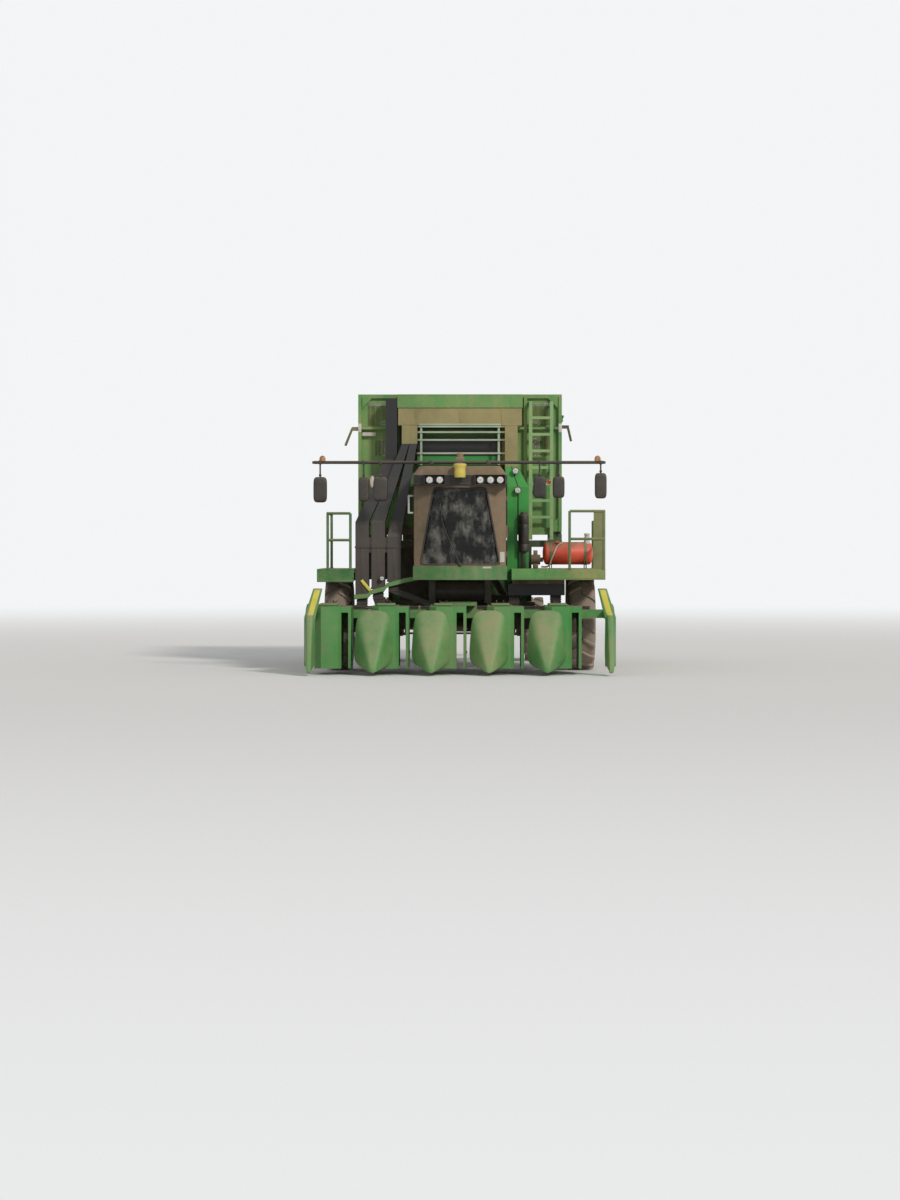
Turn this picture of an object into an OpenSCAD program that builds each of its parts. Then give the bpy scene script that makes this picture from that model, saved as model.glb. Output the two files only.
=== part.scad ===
// Five-row basket cotton picker: header in front, cab over it, basket behind and above.
// +Z up, the header faces -Y, the ground is at Z = 0, the machine's left side is +X.

/* [Overall] */
// Length from the snout tips to the rear bumper
overall_l = 8600; // [8500:50:8900]
// Width over the two end dividers of the header
header_w = 5400; // [5300:20:5600]
// Height of the decks above the ground
deck_z = 1830; // [1810:5:1860]
// Place of the front axle, from the middle of the machine
axle_front_y = -1500; // [-1540:10:-1460]
// Distance between the two axles
wheelbase = 4200; // [4150:10:4250]

/* [Front wheels] */
// Radius over the lugs
front_r = 860; // [840:5:870]
// Width of the front tyres
front_w = 500; // [440:10:520]
// Distance between the two front tyres' middles
front_track = 4360; // [4300:10:4400]
// Radius of the front rims
front_rim_r = 482; // [440:2:500]
// Lugs on each half of a front tyre
front_lugs = 18; // [14:1:20]

/* [Rear wheels] */
// Radius over the lugs of the rear tyres
rear_r = 620; // [600:5:640]
// Width of the rear tyres
rear_w = 380; // [340:10:400]
// Distance between the two rear tyres' middles
rear_track = 2900; // [2860:10:2940]
// Radius of the rear rims
rear_rim_r = 330; // [300:2:350]
// Lugs on each half of a rear tyre
rear_lugs = 16; // [12:1:18]
// Distance from each kingpin to its tyre's middle
kingpin_in = 300; // [290:5:310]

/* [Tyre lugs] */
// Height of the lugs
lug_h = 38; // [30:1:45]
// Width of a lug along the tread
lug_w = 60; // [50:2:70]

/* [Chassis] */
// Distance between the middles of the two main rails
rail_gap = 1100; // [1060:10:1140]
// Width of a main rail
rail_w = 120; // [100:5:140]
// Height of a main rail
rail_h = 260; // [240:5:280]
// Height of the rails' lower edge
rail_z = 960; // [940:5:980]
// Height of the front lift pivots
lift_z = 860; // [840:5:880]
// Distance of the lift pivots ahead of the front axle
lift_ahead = 650; // [630:5:670]
// Radius of the lift pins
lift_pin_r = 35; // [30:1:40]

/* [Cab] */
// Width of the cab
cab_w = 1620; // [1580:10:1660]
// Length of the cab
cab_l = 1550; // [1520:10:1580]
// Place of the cab's front, from the middle of the machine
cab_front_y = -3150; // [-3180:10:-3120]
// Height of the cab's sill, the top of its base
cab_sill_z = 1880; // [1870:5:1900]
// Height of the top of the walls
cab_eave_z = 3300; // [3280:5:3320]
// Height of the top of the roof
cab_top_z = 3640; // [3620:5:3660]
// Thickness of the walls and of the door
wall = 60; // [50:2:70]
// Thickness of the glass
glass_t = 10; // [8:1:14]
// Radius of the curved front in plan
cab_nose_r = 1500; // [1450:10:1600]

/* [Basket] */
// Width of the basket
basket_w = 3700; // [3660:10:3720]
// Length of the basket
basket_l = 5300; // [5250:10:5350]
// Place of the basket's front
basket_y = -1300; // [-1310:5:-1290]
// Height of the basket's floor
basket_z = 2500; // [2490:5:2520]
// Height of the basket's top edge
basket_top_z = 4990; // [4900:10:5040]
// Thickness of the basket's sheet walls
basket_t = 12; // [10:1:16]
// Size of the basket's frame tubes
basket_tube = 70; // [60:5:80]
// Radius of the pins that the basket tips on
tip_pin_r = 30; // [26:1:34]

/* [Header] */
// Distance between rows
row_pitch = 1000; // [990:5:1010]
// Number of rows
rows = 5; // [5:1:5]
// Width of the slot that a plant row passes through
throat_w = 120; // [110:5:130]
// Width of a row unit's drum side
unit_w = 470; // [460:5:475]
// Length of a row unit
unit_l = 1100; // [1080:10:1110]
// Height of the row units' top
unit_top_z = 1180; // [1160:5:1200]
// Height of the row units above the ground
unit_z = 110; // [90:5:130]
// Length of the snouts ahead of the units
snout_l = 500; // [480:10:520]

/* [Running clearance] */
// Gap round each pin and rod
pin_gap = 0.3; // [0.2:0.05:0.6]

/* [Hidden] */
$fn = 48;
hull_fn = 24;

GREEN = "forestgreen";
PALE = "darkseagreen";
DARK = "dimgray";
LEFT = 1;
RIGHT = -1;

// Sizes along the machine follow its length, and the rows follow the header's width
along = overall_l / 8600;
across = header_w / 5400;

tip_y = -overall_l / 2;
tail_y = overall_l / 2;
front_y = axle_front_y * along;
axle_rear_y = front_y + wheelbase * along;
front_x = front_track / 2;
// Inner limit for what stands beside the front tyres
wheel_in = front_x - front_w / 2 - 70;
rear_x = rear_track / 2;
kingpin_x = rear_x - kingpin_in;
rail_x = rail_gap / 2;
rail_top_z = rail_z + rail_h;
lift_y = front_y - lift_ahead * along;

unit_len = unit_l * along;
unit_y0 = tip_y + snout_l * along;
unit_y1 = unit_y0 + unit_len;
door_t = 50;
pitch = row_pitch * across;
row_xs = [for (i = [0 : rows - 1]) (i - (rows - 1) / 2) * pitch];
toolbar = 150;
toolbar_y = unit_y1 + 12;
toolbar_z = 960;

cab_y = cab_front_y * along;
cab_len = cab_l * along;
cab_back_y = cab_y + cab_len;
cab_floor_z = 1640;
basket_y0 = basket_y * along;
basket_len = basket_l * along;
basket_back_y = basket_y0 + basket_len;
basket_x = basket_w / 2;
tip_x = basket_x - 50;
tip_z = basket_z - 60;
stand_ys = [basket_y0 + 150, 1250 * along, basket_back_y - 300];
stand_top_z = basket_z - 160;

deck_y = [-2980, -600] * along;
deck_left_x = [910, 2560];
deck_right_x = [-2520, -1870];
deck_t = 40;

// Plain blocks and round bars

module block(x, y, z) {
    translate([x[0], y[0], z[0]])
        cube([x[1] - x[0], y[1] - y[0], z[1] - z[0]]);
}

// A round bar between two points
module bar(p, q, r) {
    d = q - p;
    n = norm(d);
    translate(p)
        rotate([0, acos(d[2] / n), atan2(d[1], d[0])])
            cylinder(h = n, r = r);
}

// Round bars through a list of points, with a ball at each inner bend
module rail(points, r) {
    for (i = [0 : len(points) - 2])
        bar(points[i], points[i + 1], r);
    for (i = [1 : 1 : len(points) - 2])
        translate(points[i]) sphere(r = r, $fn = 24);
}

// A cylinder that lies along X, from x0 to x1
module along_x(x0, x1, y, z, r) {
    translate([x0, y, z]) rotate([0, 90, 0]) cylinder(h = x1 - x0, r = r);
}

// A cylinder that lies along Y, from y0 to y1
module along_y(y0, y1, x, z, r) {
    translate([x, y0, z]) rotate([-90, 0, 0]) cylinder(h = y1 - y0, r = r);
}

// Frame

hitch_r = 16;
hitch_z = 700;
bumper_y = [tail_y - 160, tail_y - 70];
lift_base_y = front_y - 440;
lift_base_z = 540;
lift_cyl_x = 330;
lift_base_pin_r = 22;
tip_base_pin_r = 30;
tip_base_x = 900;
tip_base_z = 1160;
tip_cyl_ys = [stand_ys[0] + 150, stand_ys[2] - 150];

module chassis() {
    color(GREEN) {
        difference() {
            union() {
                for (s = [LEFT, RIGHT])
                    translate([s * rail_x - rail_w / 2, lift_y + 20, rail_z])
                        cube([rail_w, bumper_y[0] + 1 - lift_y - 20, rail_h]);
                for (y = [lift_y + 120, -300 * along, 1100 * along, stand_ys[2] - 60,
                        bumper_y[0] - 120])
                    block([-rail_x, rail_x], [y, y + 120], [rail_z + 40, rail_top_z - 40]);
                // lift pivot ears, one pair on each rail
                for (s = [LEFT, RIGHT])
                    for (side = [-1, 1])
                        translate([s * rail_x + side * 75 - 15, lift_y, lift_z])
                            rotate([90, 0, 90])
                                linear_extrude(30)
                                    union() {
                                        circle(r = 90);
                                        translate([-90, 0])
                                            square([220, rail_z + 60 - lift_z]);
                                    }
                block([-rail_x, rail_x], [axle_rear_y - 130, axle_rear_y + 130],
                    [rail_z, rail_z + 150]);
                // brackets for the lift cylinders
                for (s = [LEFT, RIGHT])
                    for (side = [-1, 1])
                        block([s * lift_cyl_x + side * 70 - 9, s * lift_cyl_x + side * 70 + 9],
                            [lift_base_y - 50, lift_base_y + 110],
                            [lift_base_z - 60, rail_z + 60]);
                block([-rail_x, rail_x], [lift_base_y + 30, lift_base_y + 110],
                    [rail_z, rail_z + 120]);
                // brackets for the tipping cylinders
                for (y = tip_cyl_ys)
                    for (side = [-1, 1])
                        block([rail_x, tip_base_x + 60], [y + side * 88 - 10, y + side * 88 + 10],
                            [tip_base_z - 100, tip_base_z + 60]);
                // rear bumper and hitch
                block([-1300, 1300], bumper_y, [rail_z, rail_z + 200]);
                block([-60, 60], [bumper_y[0], bumper_y[1] - 30], [hitch_z - 30, rail_z + 10]);
                block([-60, 60], [bumper_y[0], tail_y], [hitch_z - 30, hitch_z]);
            }
            translate([0, tail_y - 32, hitch_z - 40]) cylinder(h = 60, r = hitch_r);
        }
        // the pins that the header and the cylinders turn on
        for (s = [LEFT, RIGHT]) {
            along_x(s * rail_x - 110, s * rail_x + 110, lift_y, lift_z, lift_pin_r);
            along_x(s * lift_cyl_x - 90, s * lift_cyl_x + 90, lift_base_y, lift_base_z,
                lift_base_pin_r);
        }
        for (y = tip_cyl_ys)
            along_y(y - 110, y + 110, tip_base_x, tip_base_z, tip_base_pin_r);
    }
}

// Posts and cross beams that carry the basket, and the pins that it tips on

post_w = 110;
post_x = 1250;

module basket_stand() {
    color(GREEN) {
        for (y = stand_ys) {
            for (s = [LEFT, RIGHT]) {
                block([s * post_x - post_w / 2, s * post_x + post_w / 2],
                    [y - post_w / 2, y + post_w / 2], [rail_top_z, stand_top_z]);
            }
            block([-post_x - post_w / 2, post_x + post_w / 2], [y - 45, y + 45],
                [rail_top_z + 0.3, rail_top_z + 120]);
            block([-basket_x + 150, tip_x + 60], [y - 55, y + 55],
                [stand_top_z - 120, stand_top_z]);
            // pad that the basket rests on
            block([-basket_x + 200, -basket_x + 400], [y - 55, y + 55],
                [stand_top_z - 1, basket_z - 0.3]);
            // ears and pin
            for (side = [-1, 1])
                translate([tip_x, y + side * 45 - 10, tip_z])
                    rotate([90, 0, 0])
                        translate([0, 0, -20])
                            linear_extrude(20)
                                union() {
                                    circle(r = 55);
                                    translate([-55, stand_top_z - tip_z - 10])
                                        square([110, tip_z - stand_top_z + 10]);
                                }
            along_y(y - 70, y + 70, tip_x, tip_z, tip_pin_r);
        }
    }
}

// Running gear

hub_r = 190;

module front_axle() {
    color(GREEN) {
        along_x(-front_x + front_w / 2 + 130, front_x - front_w / 2 - 130,
            front_y, front_r, 95);
        block([-rail_x - 60, rail_x + 60], [front_y - 220, front_y + 220],
            [front_r - 170, rail_z - 0.3]);
        for (s = [LEFT, RIGHT]) {
            block([s * 1150 - 200, s * 1150 + 200], [front_y - 130, front_y + 130],
                [front_r - 130, rail_top_z]);
            block([min(s * rail_x + s * rail_w / 2 + s * 0.3, s * 1150),
                max(s * rail_x + s * rail_w / 2 + s * 0.3, s * 1150)],
                [front_y - 130, front_y + 130], [rail_z + 60, rail_top_z]);
            // planetary final drive, out to the wheel's face
            x0 = front_x - front_w / 2 - 260;
            x1 = front_x - 60;
            translate([s > 0 ? x0 : -x0, front_y, front_r])
                rotate([0, s * 90, 0]) {
                    cylinder(h = 130, r = 230);
                    cylinder(h = x1 - x0 - 0.3, r = hub_r);
                }
        }
    }
}

steer_z = rear_r;
kingpin_r = 32;
arm_l = 235;
tie_pin_r = 14;

module rear_axle() {
    color(GREEN) {
        difference() {
            union() {
                block([-kingpin_x + 60, kingpin_x - 60],
                    [axle_rear_y - 80, axle_rear_y + 80], [steer_z - 20, steer_z + 140]);
                block([-300, 300], [axle_rear_y - 140, axle_rear_y + 140],
                    [steer_z + 100, rail_z - 0.3]);
                for (s = [LEFT, RIGHT])
                    for (z = [steer_z - 130, steer_z + 90])
                        translate([s * kingpin_x, axle_rear_y, z])
                            cylinder(h = 50, r = 80);
                for (s = [LEFT, RIGHT])
                    block([s * (kingpin_x - 90) - 25, s * (kingpin_x - 90) + 25],
                        [axle_rear_y - 45, axle_rear_y + 45], [steer_z - 130, steer_z + 140]);
            }
            for (s = [LEFT, RIGHT])
                translate([s * kingpin_x, axle_rear_y, steer_z - 140])
                    cylinder(h = 300, r = kingpin_r + pin_gap);
        }
    }
}

// A steering knuckle: kingpin, hub spindle and steering arm
module knuckle(s) {
    color(DARK)
        difference() {
            union() {
                translate([s * kingpin_x, axle_rear_y, steer_z - 145])
                    cylinder(h = 300, r = kingpin_r);
                translate([s * kingpin_x, axle_rear_y, steer_z - 72]) cylinder(h = 155, r = 52);
                translate([s * kingpin_x, axle_rear_y, steer_z])
                    rotate([0, s * 90, 0]) cylinder(h = kingpin_in - 40 - 0.3, r = 55);
                block([s * kingpin_x - 25, s * kingpin_x + 25],
                    [axle_rear_y, axle_rear_y + arm_l + 30], [steer_z - 70, steer_z - 35]);
            }
            translate([s * kingpin_x, axle_rear_y + arm_l, steer_z - 80])
                cylinder(h = 60, r = tie_pin_r + pin_gap);
        }
}

// The rod that ties the two steering arms together
module tie_rod() {
    color(DARK) {
        along_x(-kingpin_x, kingpin_x, axle_rear_y + arm_l, steer_z - 98, 20);
        for (s = [LEFT, RIGHT])
            translate([s * kingpin_x, axle_rear_y + arm_l, steer_z - 118]) {
                cylinder(h = 44, r = 28);
                cylinder(h = 96, r = tie_pin_r);
            }
    }
}

// Tyre profile: inner radius r0, tread radius r1 and width w
module tyre_profile(r0, r1, w) {
    polygon([[r0, -w * 0.36], [r0 + 20, -w * 0.44], [r0 + (r1 - r0) * 0.5, -w * 0.5],
        [r1 - 50, -w * 0.46], [r1, -w * 0.36], [r1, w * 0.36], [r1 - 50, w * 0.46],
        [r0 + (r1 - r0) * 0.5, w * 0.5], [r0 + 20, w * 0.44], [r0, w * 0.36]]);
}

// One lug: a slanted bar on one half of the tread
module tyre_lug(r, w, side) {
    translate([r - lug_h - 12, 0, 0])
        rotate([90, 0, 90])
            linear_extrude(lug_h + 12)
                polygon([[-lug_w / 2, side * 8], [lug_w / 2, side * 8],
                    [lug_w / 2 + w * 0.3, side * w * 0.47],
                    [-lug_w / 2 + w * 0.3, side * w * 0.47]]);
}

// A lugged tyre about the X axis
module tyre(r, rim_r, w, lugs) {
    color("dimgray")
        rotate([0, 90, 0])
            intersection() {
                union() {
                    rotate_extrude($fn = 72) tyre_profile(rim_r, r - lug_h, w);
                    for (i = [0 : lugs - 1])
                        for (side = [-1, 1])
                            rotate([0, 0, (i + (side > 0 ? 0.5 : 0)) * 360 / lugs])
                                tyre_lug(r, w, side);
                }
                translate([0, 0, -w]) cylinder(h = 2 * w, r = r, $fn = 72);
            }
}

// A dished rim about the X axis; s says which way it faces
module rim(rim_r, w, hub_bore, s) {
    half = w * 0.36;
    color("gold")
        rotate([0, s * 90, 0])
            difference() {
                rotate_extrude($fn = 72)
                    polygon([[hub_bore, -60], [hub_bore + 90, -60], [rim_r - 90, 40],
                        [rim_r - 40, 40], [rim_r - 40, -half], [rim_r - 0.5, -half],
                        [rim_r - 0.5, half], [rim_r - 40, half], [rim_r - 40, 58],
                        [rim_r - 95, 58], [hub_bore + 85, -42], [hub_bore, -42]]);
                for (i = [0 : 7])
                    rotate([0, 0, i * 45 + 22.5])
                        translate([(rim_r + hub_bore) / 2, 0, -100])
                            cylinder(h = 200, r = 30, $fn = 24);
            }
}

module tyre_front(s) {
    translate([s * front_x, front_y, front_r])
        tyre(front_r, front_rim_r, front_w, front_lugs);
}

module rim_front(s) {
    translate([s * front_x, front_y, front_r]) {
        rim(front_rim_r, front_w, hub_r - 60, s);
        color("gold")
            rotate([0, s * 90, 0]) translate([0, 0, -59]) cylinder(h = 90, r = hub_r - 40);
    }
}

module tyre_rear(s) {
    translate([s * rear_x, axle_rear_y, rear_r])
        tyre(rear_r, rear_rim_r, rear_w, rear_lugs);
}

module rim_rear(s) {
    translate([s * rear_x, axle_rear_y, rear_r]) {
        rim(rear_rim_r, rear_w, 70, s);
        color("gold")
            rotate([0, s * 90, 0])
                difference() {
                    translate([0, 0, -60]) cylinder(h = 90, r = 90);
                    translate([0, 0, -61]) cylinder(h = 21, r = 55 + pin_gap);
                }
    }
}

// Engine, its covers, tanks and fan

engine_y0 = -60 * along;
engine_len = 1100 * along;
engine_h = 640;
exhaust_x = -250;
exhaust_z = rail_top_z + 520;
cover_y0 = deck_y[1] + 20;
cover_y1 = axle_rear_y - 860 * along;
cover_x = 1120;
cover_z0 = rail_top_z + 0.3;
cover_z1 = stand_top_z - 130;
cover_t = 8;

module engine() {
    color(DARK) {
        block([-rail_x + rail_w / 2 + 30, rail_x - rail_w / 2 - 30],
            [engine_y0, engine_y0 + engine_len], [rail_z + 60, rail_top_z + 60 + engine_h]);
        // exhaust pipe, out through the cover's rear wall
        along_y(engine_y0 + engine_len - 100, cover_y1 + 160, exhaust_x, exhaust_z, 55);
    }
}

// Side covers with louvres on the left and a round screen on the right
module engine_cover() {
    ym = (cover_y0 + cover_y1) / 2;
    zm = (cover_z0 + cover_z1) / 2;
    n_louvres = 7;
    color(GREEN)
        difference() {
            block([-cover_x, cover_x], [cover_y0, cover_y1], [cover_z0, cover_z1]);
            block([-cover_x + cover_t, cover_x - cover_t],
                [cover_y0 + cover_t, cover_y1 - cover_t],
                [cover_z0 - 1, cover_z1 - cover_t]);
            for (i = [0 : n_louvres - 1])
                block([cover_x - cover_t - 1, cover_x + 1], [ym - 520, ym + 520],
                    [zm - 300 + i * 90, zm - 270 + i * 90]);
            along_x(-cover_x - 1, -cover_x + cover_t + 1, ym, zm, 400);
            along_y(cover_y1 - cover_t - 1, cover_y1 + 1, exhaust_x, exhaust_z, 75);
            for (y = [stand_ys[1]])
                for (s = [LEFT, RIGHT])
                    block([s * post_x - 300, s * post_x + 300], [y - 60, y + 60],
                        [cover_z0 - 1, cover_z0 + 130]);
        }
    // round screen: rings on a cross
    color(DARK)
        translate([-cover_x + cover_t / 2, ym, zm])
            rotate([0, 90, 0])
                translate([0, 0, -cover_t / 2])
                    linear_extrude(cover_t)
                        union() {
                            for (r = [90 : 80 : 330])
                                difference() {
                                    circle(r = r + 12);
                                    circle(r = r - 12);
                                }
                            for (a = [0, 45, 90, 135])
                                rotate(a) square([806, 20], center = true);
                        }
}

tanks_x = 880;

module tanks() {
    color("darkslategray")
        for (s = [LEFT, RIGHT])
            block([s > 0 ? 30 : -tanks_x, s > 0 ? tanks_x : -30],
                [cover_y1 + 220, stand_ys[2] - 260], [rail_top_z + 0.3, cover_z1]);
}

fan_y = cab_back_y - 400;
fan_r = 190;
fan_z = rail_top_z + 10 + fan_r;

module fan_housing() {
    color(DARK) {
        difference() {
            along_x(-425, 425, fan_y, fan_z, fan_r);
            along_x(-426, -200, fan_y, fan_z, fan_r - 70);
            along_x(200, 426, fan_y, fan_z, fan_r - 70);
        }
        block([-425, 425], [fan_y, fan_y + 330], [fan_z - 20, fan_z + fan_r - 10]);
    }
}

// Ducts

duct_gap = 45;
left_gap = 20;
bank_right_x = [-wheel_in, -1050];
bank_left_x = [850, 1240];
bank_y = [-2500, -2100] * along;
bank_left_y = [-1760, -1480] * along;
bank_foot_z = 1340;
bank_step_z = 130;
hood_x = 1115;
hood_y = [basket_y0 - 400, basket_y0 - 40];
hood_z = [4410, 4970];
leg_right_z = 4080;
leg_left_z = 3670;
// Height at which the left ducts start to lean, and where their front face is at a height z
left_bend_z = 3300;
function duct_front(z) = bank_left_y[0]
    + (hood_y[0] - bank_left_y[0]) * max(0, z - left_bend_z) / (leg_left_z - left_bend_z);
// Where the right ducts end at the hood: one beside it, two under its leg
right_tops = [[-1340, -1135], [-1050, -915], [-905, -775]];
left_tops = [[810, 920], [930, 1040]];
side_duct_z = [3800, 4900];
// Flat box under the left deck that the left ducts stand on
plenum_x = [850, wheel_in];
plenum_z = [1360, 1560];

// One flat duct that rises, then leans back to the hood
module duct(x, y, z0, z1, top_x, top_y, top_z) {
    block(x, y, [z0, z1]);
    hull() {
        block(x, y, [z1 - 1, z1]);
        block(top_x, top_y, [top_z - 1, top_z]);
    }
}

module duct_banks() {
    rw = (bank_right_x[1] - bank_right_x[0] - 2 * duct_gap) / 3;
    lw = (bank_left_x[1] - bank_left_x[0] - left_gap) / 2;
    color("dimgray") {
        for (i = [0 : 2]) {
            x0 = bank_right_x[0] + i * (rw + duct_gap);
            duct([x0, x0 + rw], bank_y, bank_foot_z + i * bank_step_z, 2660 - max(0, i - 1) * 260,
                right_tops[i], hood_y, i == 0 ? side_duct_z[0] : leg_right_z);
            // flange round the foot, and a band round the middle
            for (z = [bank_foot_z + i * bank_step_z, 2200])
                block([x0 - 12, x0 + rw + 12], [bank_y[0] - 12, bank_y[1] + 12], [z, z + 30]);
        }
        block(right_tops[0], hood_y, [side_duct_z[0] - 1, side_duct_z[1]]);
        // web between the ducts, set back behind the two slots
        block([bank_right_x[0] + 10, bank_right_x[1] - 10],
            [bank_y[0] + 140, bank_y[1] - 60], [1640, 2200]);
        block([bank_right_x[0] + 10, bank_right_x[1] - 10],
            [bank_y[0] + 20, bank_y[1] - 60], [2120, 2390]);
    }
    color(GREEN) {
        block(plenum_x, [bank_y[0] - 40, bank_left_y[1]], plenum_z);
        block([bank_left_x[0] + 10, bank_left_x[1] - 10],
            [bank_left_y[0] + 60, bank_left_y[1] - 60], [2140, 2300]);
        for (i = [0, 1]) {
            x0 = bank_left_x[0] + i * (lw + left_gap);
            duct([x0, x0 + lw], bank_left_y, plenum_z[1] - 1, left_bend_z, left_tops[i], hood_y,
                leg_left_z);
        }
    }
}

// The hood over the ducts' tops, its two legs and the rails between them
module duct_hood() {
    color(PALE) {
        difference() {
            block([-hood_x, hood_x], hood_y, hood_z);
            block([-hood_x + 12, hood_x - 12], [hood_y[0] + 12, hood_y[1] + 1],
                [hood_z[0] - 1, hood_z[1] - 12]);
        }
        block([-hood_x - 15, hood_x + 15], [hood_y[0] - 20, hood_y[0] + 30],
            [hood_z[1] - 240, hood_z[1]]);
        for (x = [-780, 0, 760])
            block([x - 12, x + 12], [hood_y[0] - 8, hood_y[0] + 8], [hood_z[0], hood_z[1] - 240]);
        // legs
        translate([0, hood_y[0], 0])
            rotate([90, 0, 0])
                translate([0, 0, -(hood_y[1] - hood_y[0])])
                    linear_extrude(hood_y[1] - hood_y[0])
                        union() {
                            polygon([[-1050, hood_z[0] + 5], [-770, hood_z[0] + 5],
                                [-770, leg_right_z + 0.3], [-1050, leg_right_z + 0.3]]);
                            polygon([[810, hood_z[0] + 5], [1040, hood_z[0] + 5],
                                [1040, leg_left_z + 0.3], [810, leg_left_z + 0.3]]);
                        }
    }
    color("honeydew") {
        for (z = [hood_z[0] - 20, 4290, 4150, 3910])
            block([-780, 820], [hood_y[0] + 5, hood_y[0] + 45], [z - 15, z + 15]);
        for (s = [LEFT, RIGHT])
            block([s * 700 - 20, s * 700 + 20], [hood_y[0] + 25, hood_y[0] + 60],
                [3700, hood_z[0] - 1]);
    }
    color(GREEN)
        block([-772, 820], [hood_y[1] - 90, hood_y[1]], [3700, 4200]);
}

// Cab

// Plan of the cab: a box whose front is an arc; inset shrinks it evenly
module cab_plan(inset) {
    intersection() {
        translate([-cab_w / 2 + inset, -cab_len])
            square([cab_w - 2 * inset, cab_len - inset]);
        translate([0, cab_nose_r - cab_len])
            circle(r = cab_nose_r - inset, $fn = 128);
    }
}

module at_cab() {
    translate([0, cab_back_y, 0]) children();
}

door_y0 = cab_y + 330;
door_y1 = cab_back_y - 260;
door_gap = 6;
post_inset = 90;
glass_gap = 2;

module cab_base() {
    color(GREEN) {
        at_cab()
            translate([0, 0, cab_floor_z])
                linear_extrude(cab_sill_z - cab_floor_z - 0.3) cab_plan(-20);
        for (s = [LEFT, RIGHT])
            block([s * 500 - 60, s * 500 + 60], [lift_y + 30, cab_back_y - 60],
                [rail_top_z + 0.3, cab_floor_z + 1]);
    }
}

// Windscreen opening, a trapezium through the front wall
screen_low_x = 700;
screen_top_x = 460;

module windscreen_cut(grow) {
    translate([0, cab_y + 420, 0])
        rotate([90, 0, 0])
            linear_extrude(600)
                polygon([[-screen_low_x + grow, cab_sill_z + 30 + grow],
                    [screen_low_x - grow, cab_sill_z + 30 + grow],
                    [screen_top_x - grow, cab_eave_z - 40 - grow],
                    [-screen_top_x + grow, cab_eave_z - 40 - grow]]);
}

// Side and rear window openings
module side_cuts(grow) {
    block([-cab_w / 2 - 1, -cab_w / 2 + wall + 1],
        [door_y0 + 80 + grow, door_y1 - 40 - grow],
        [cab_sill_z + 120 + grow, cab_eave_z - 90 - grow]);
    block([-cab_w / 2 + 160 + grow, cab_w / 2 - 160 - grow],
        [cab_back_y - wall - 1, cab_back_y + 1],
        [cab_sill_z + 420 + grow, cab_eave_z - 90 - grow]);
}

module cab_shell() {
    color("tan")
        difference() {
            at_cab()
                translate([0, 0, cab_sill_z])
                    linear_extrude(cab_eave_z - cab_sill_z)
                        difference() {
                            cab_plan(0);
                            cab_plan(wall);
                        }
            windscreen_cut(0);
            side_cuts(0);
            block([cab_w / 2 - wall - 40, cab_w / 2 + 1], [door_y0, door_y1],
                [cab_sill_z + 30, cab_eave_z - 30]);
        }
    // grab rail on the cab's right corner
    color("white")
        rail([[-cab_w / 2 + 2, door_y0 - 60, 2820], [-cab_w / 2 - 95, door_y0 - 60, 2820],
            [-cab_w / 2 - 95, door_y0 - 60, 3120], [-cab_w / 2 + 2, door_y0 - 60, 3120]], 18);
}

module cab_roof() {
    r = 160;
    color("tan")
        difference() {
            hull()
                for (s = [LEFT, RIGHT])
                    for (y = [cab_y - 20 + r, cab_back_y + 20 - r]) {
                        translate([s * (cab_w / 2 + 20 - r), y, cab_eave_z + 0.3])
                            cylinder(h = 180, r = r, $fn = hull_fn);
                        translate([s * (cab_w / 2 - 60 - r), y, cab_top_z - 20])
                            cylinder(h = 20, r = r - 40, $fn = hull_fn);
                    }
            translate([0, 0, cab_eave_z - 1])
                block([-cab_w / 2 + 120, cab_w / 2 - 120],
                    [cab_y + 300, cab_back_y - 120], [0, 100]);
        }
    // boxes round the lamps, open to the front
    color("tan")
        for (x = [[lamp_xs[0] - 100, lamp_xs[1] + 100], [lamp_xs[2] - 100, lamp_xs[4] + 95]])
            difference() {
                block(x, [cab_y - 125, cab_y + 60], [cab_eave_z + 0.3, lamp_z + 105]);
                block([x[0] + 15, x[1] - 15], [cab_y - 126, cab_y - 20],
                    [cab_eave_z + 15, lamp_z + 90]);
            }
}

module cab_glass() {
    color("slategray", 0.5) {
        intersection() {
            at_cab()
                translate([0, 0, cab_sill_z])
                    linear_extrude(cab_eave_z - cab_sill_z)
                        difference() {
                            cab_plan(wall / 2 - glass_t / 2);
                            cab_plan(wall / 2 + glass_t / 2);
                        }
            union() {
                windscreen_cut(glass_gap);
                side_cuts(glass_gap);
            }
        }
    }
}

// Driver's seat: base, cushion and back
module seat() {
    y = cab_back_y - 520;
    z = cab_sill_z;
    color("darkslategray") {
        block([-180, 180], [y - 180, y + 180], [z, z + 330]);
        block([-260, 260], [y - 260, y + 240], [z + 330, z + 450]);
        translate([0, y + 170, z + 400])
            rotate([-8, 0, 0])
                block([-240, 240], [0, 110], [0, 620]);
        for (s = [LEFT, RIGHT])
            block([s * 300 - 35, s * 300 + 35], [y - 180, y + 180], [z + 560, z + 620]);
        for (s = [LEFT, RIGHT])
            block([s * 300 - 45, s * 300 + 20 - s * 25], [y + 140, y + 180], [z + 380, z + 600]);
    }
}

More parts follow.
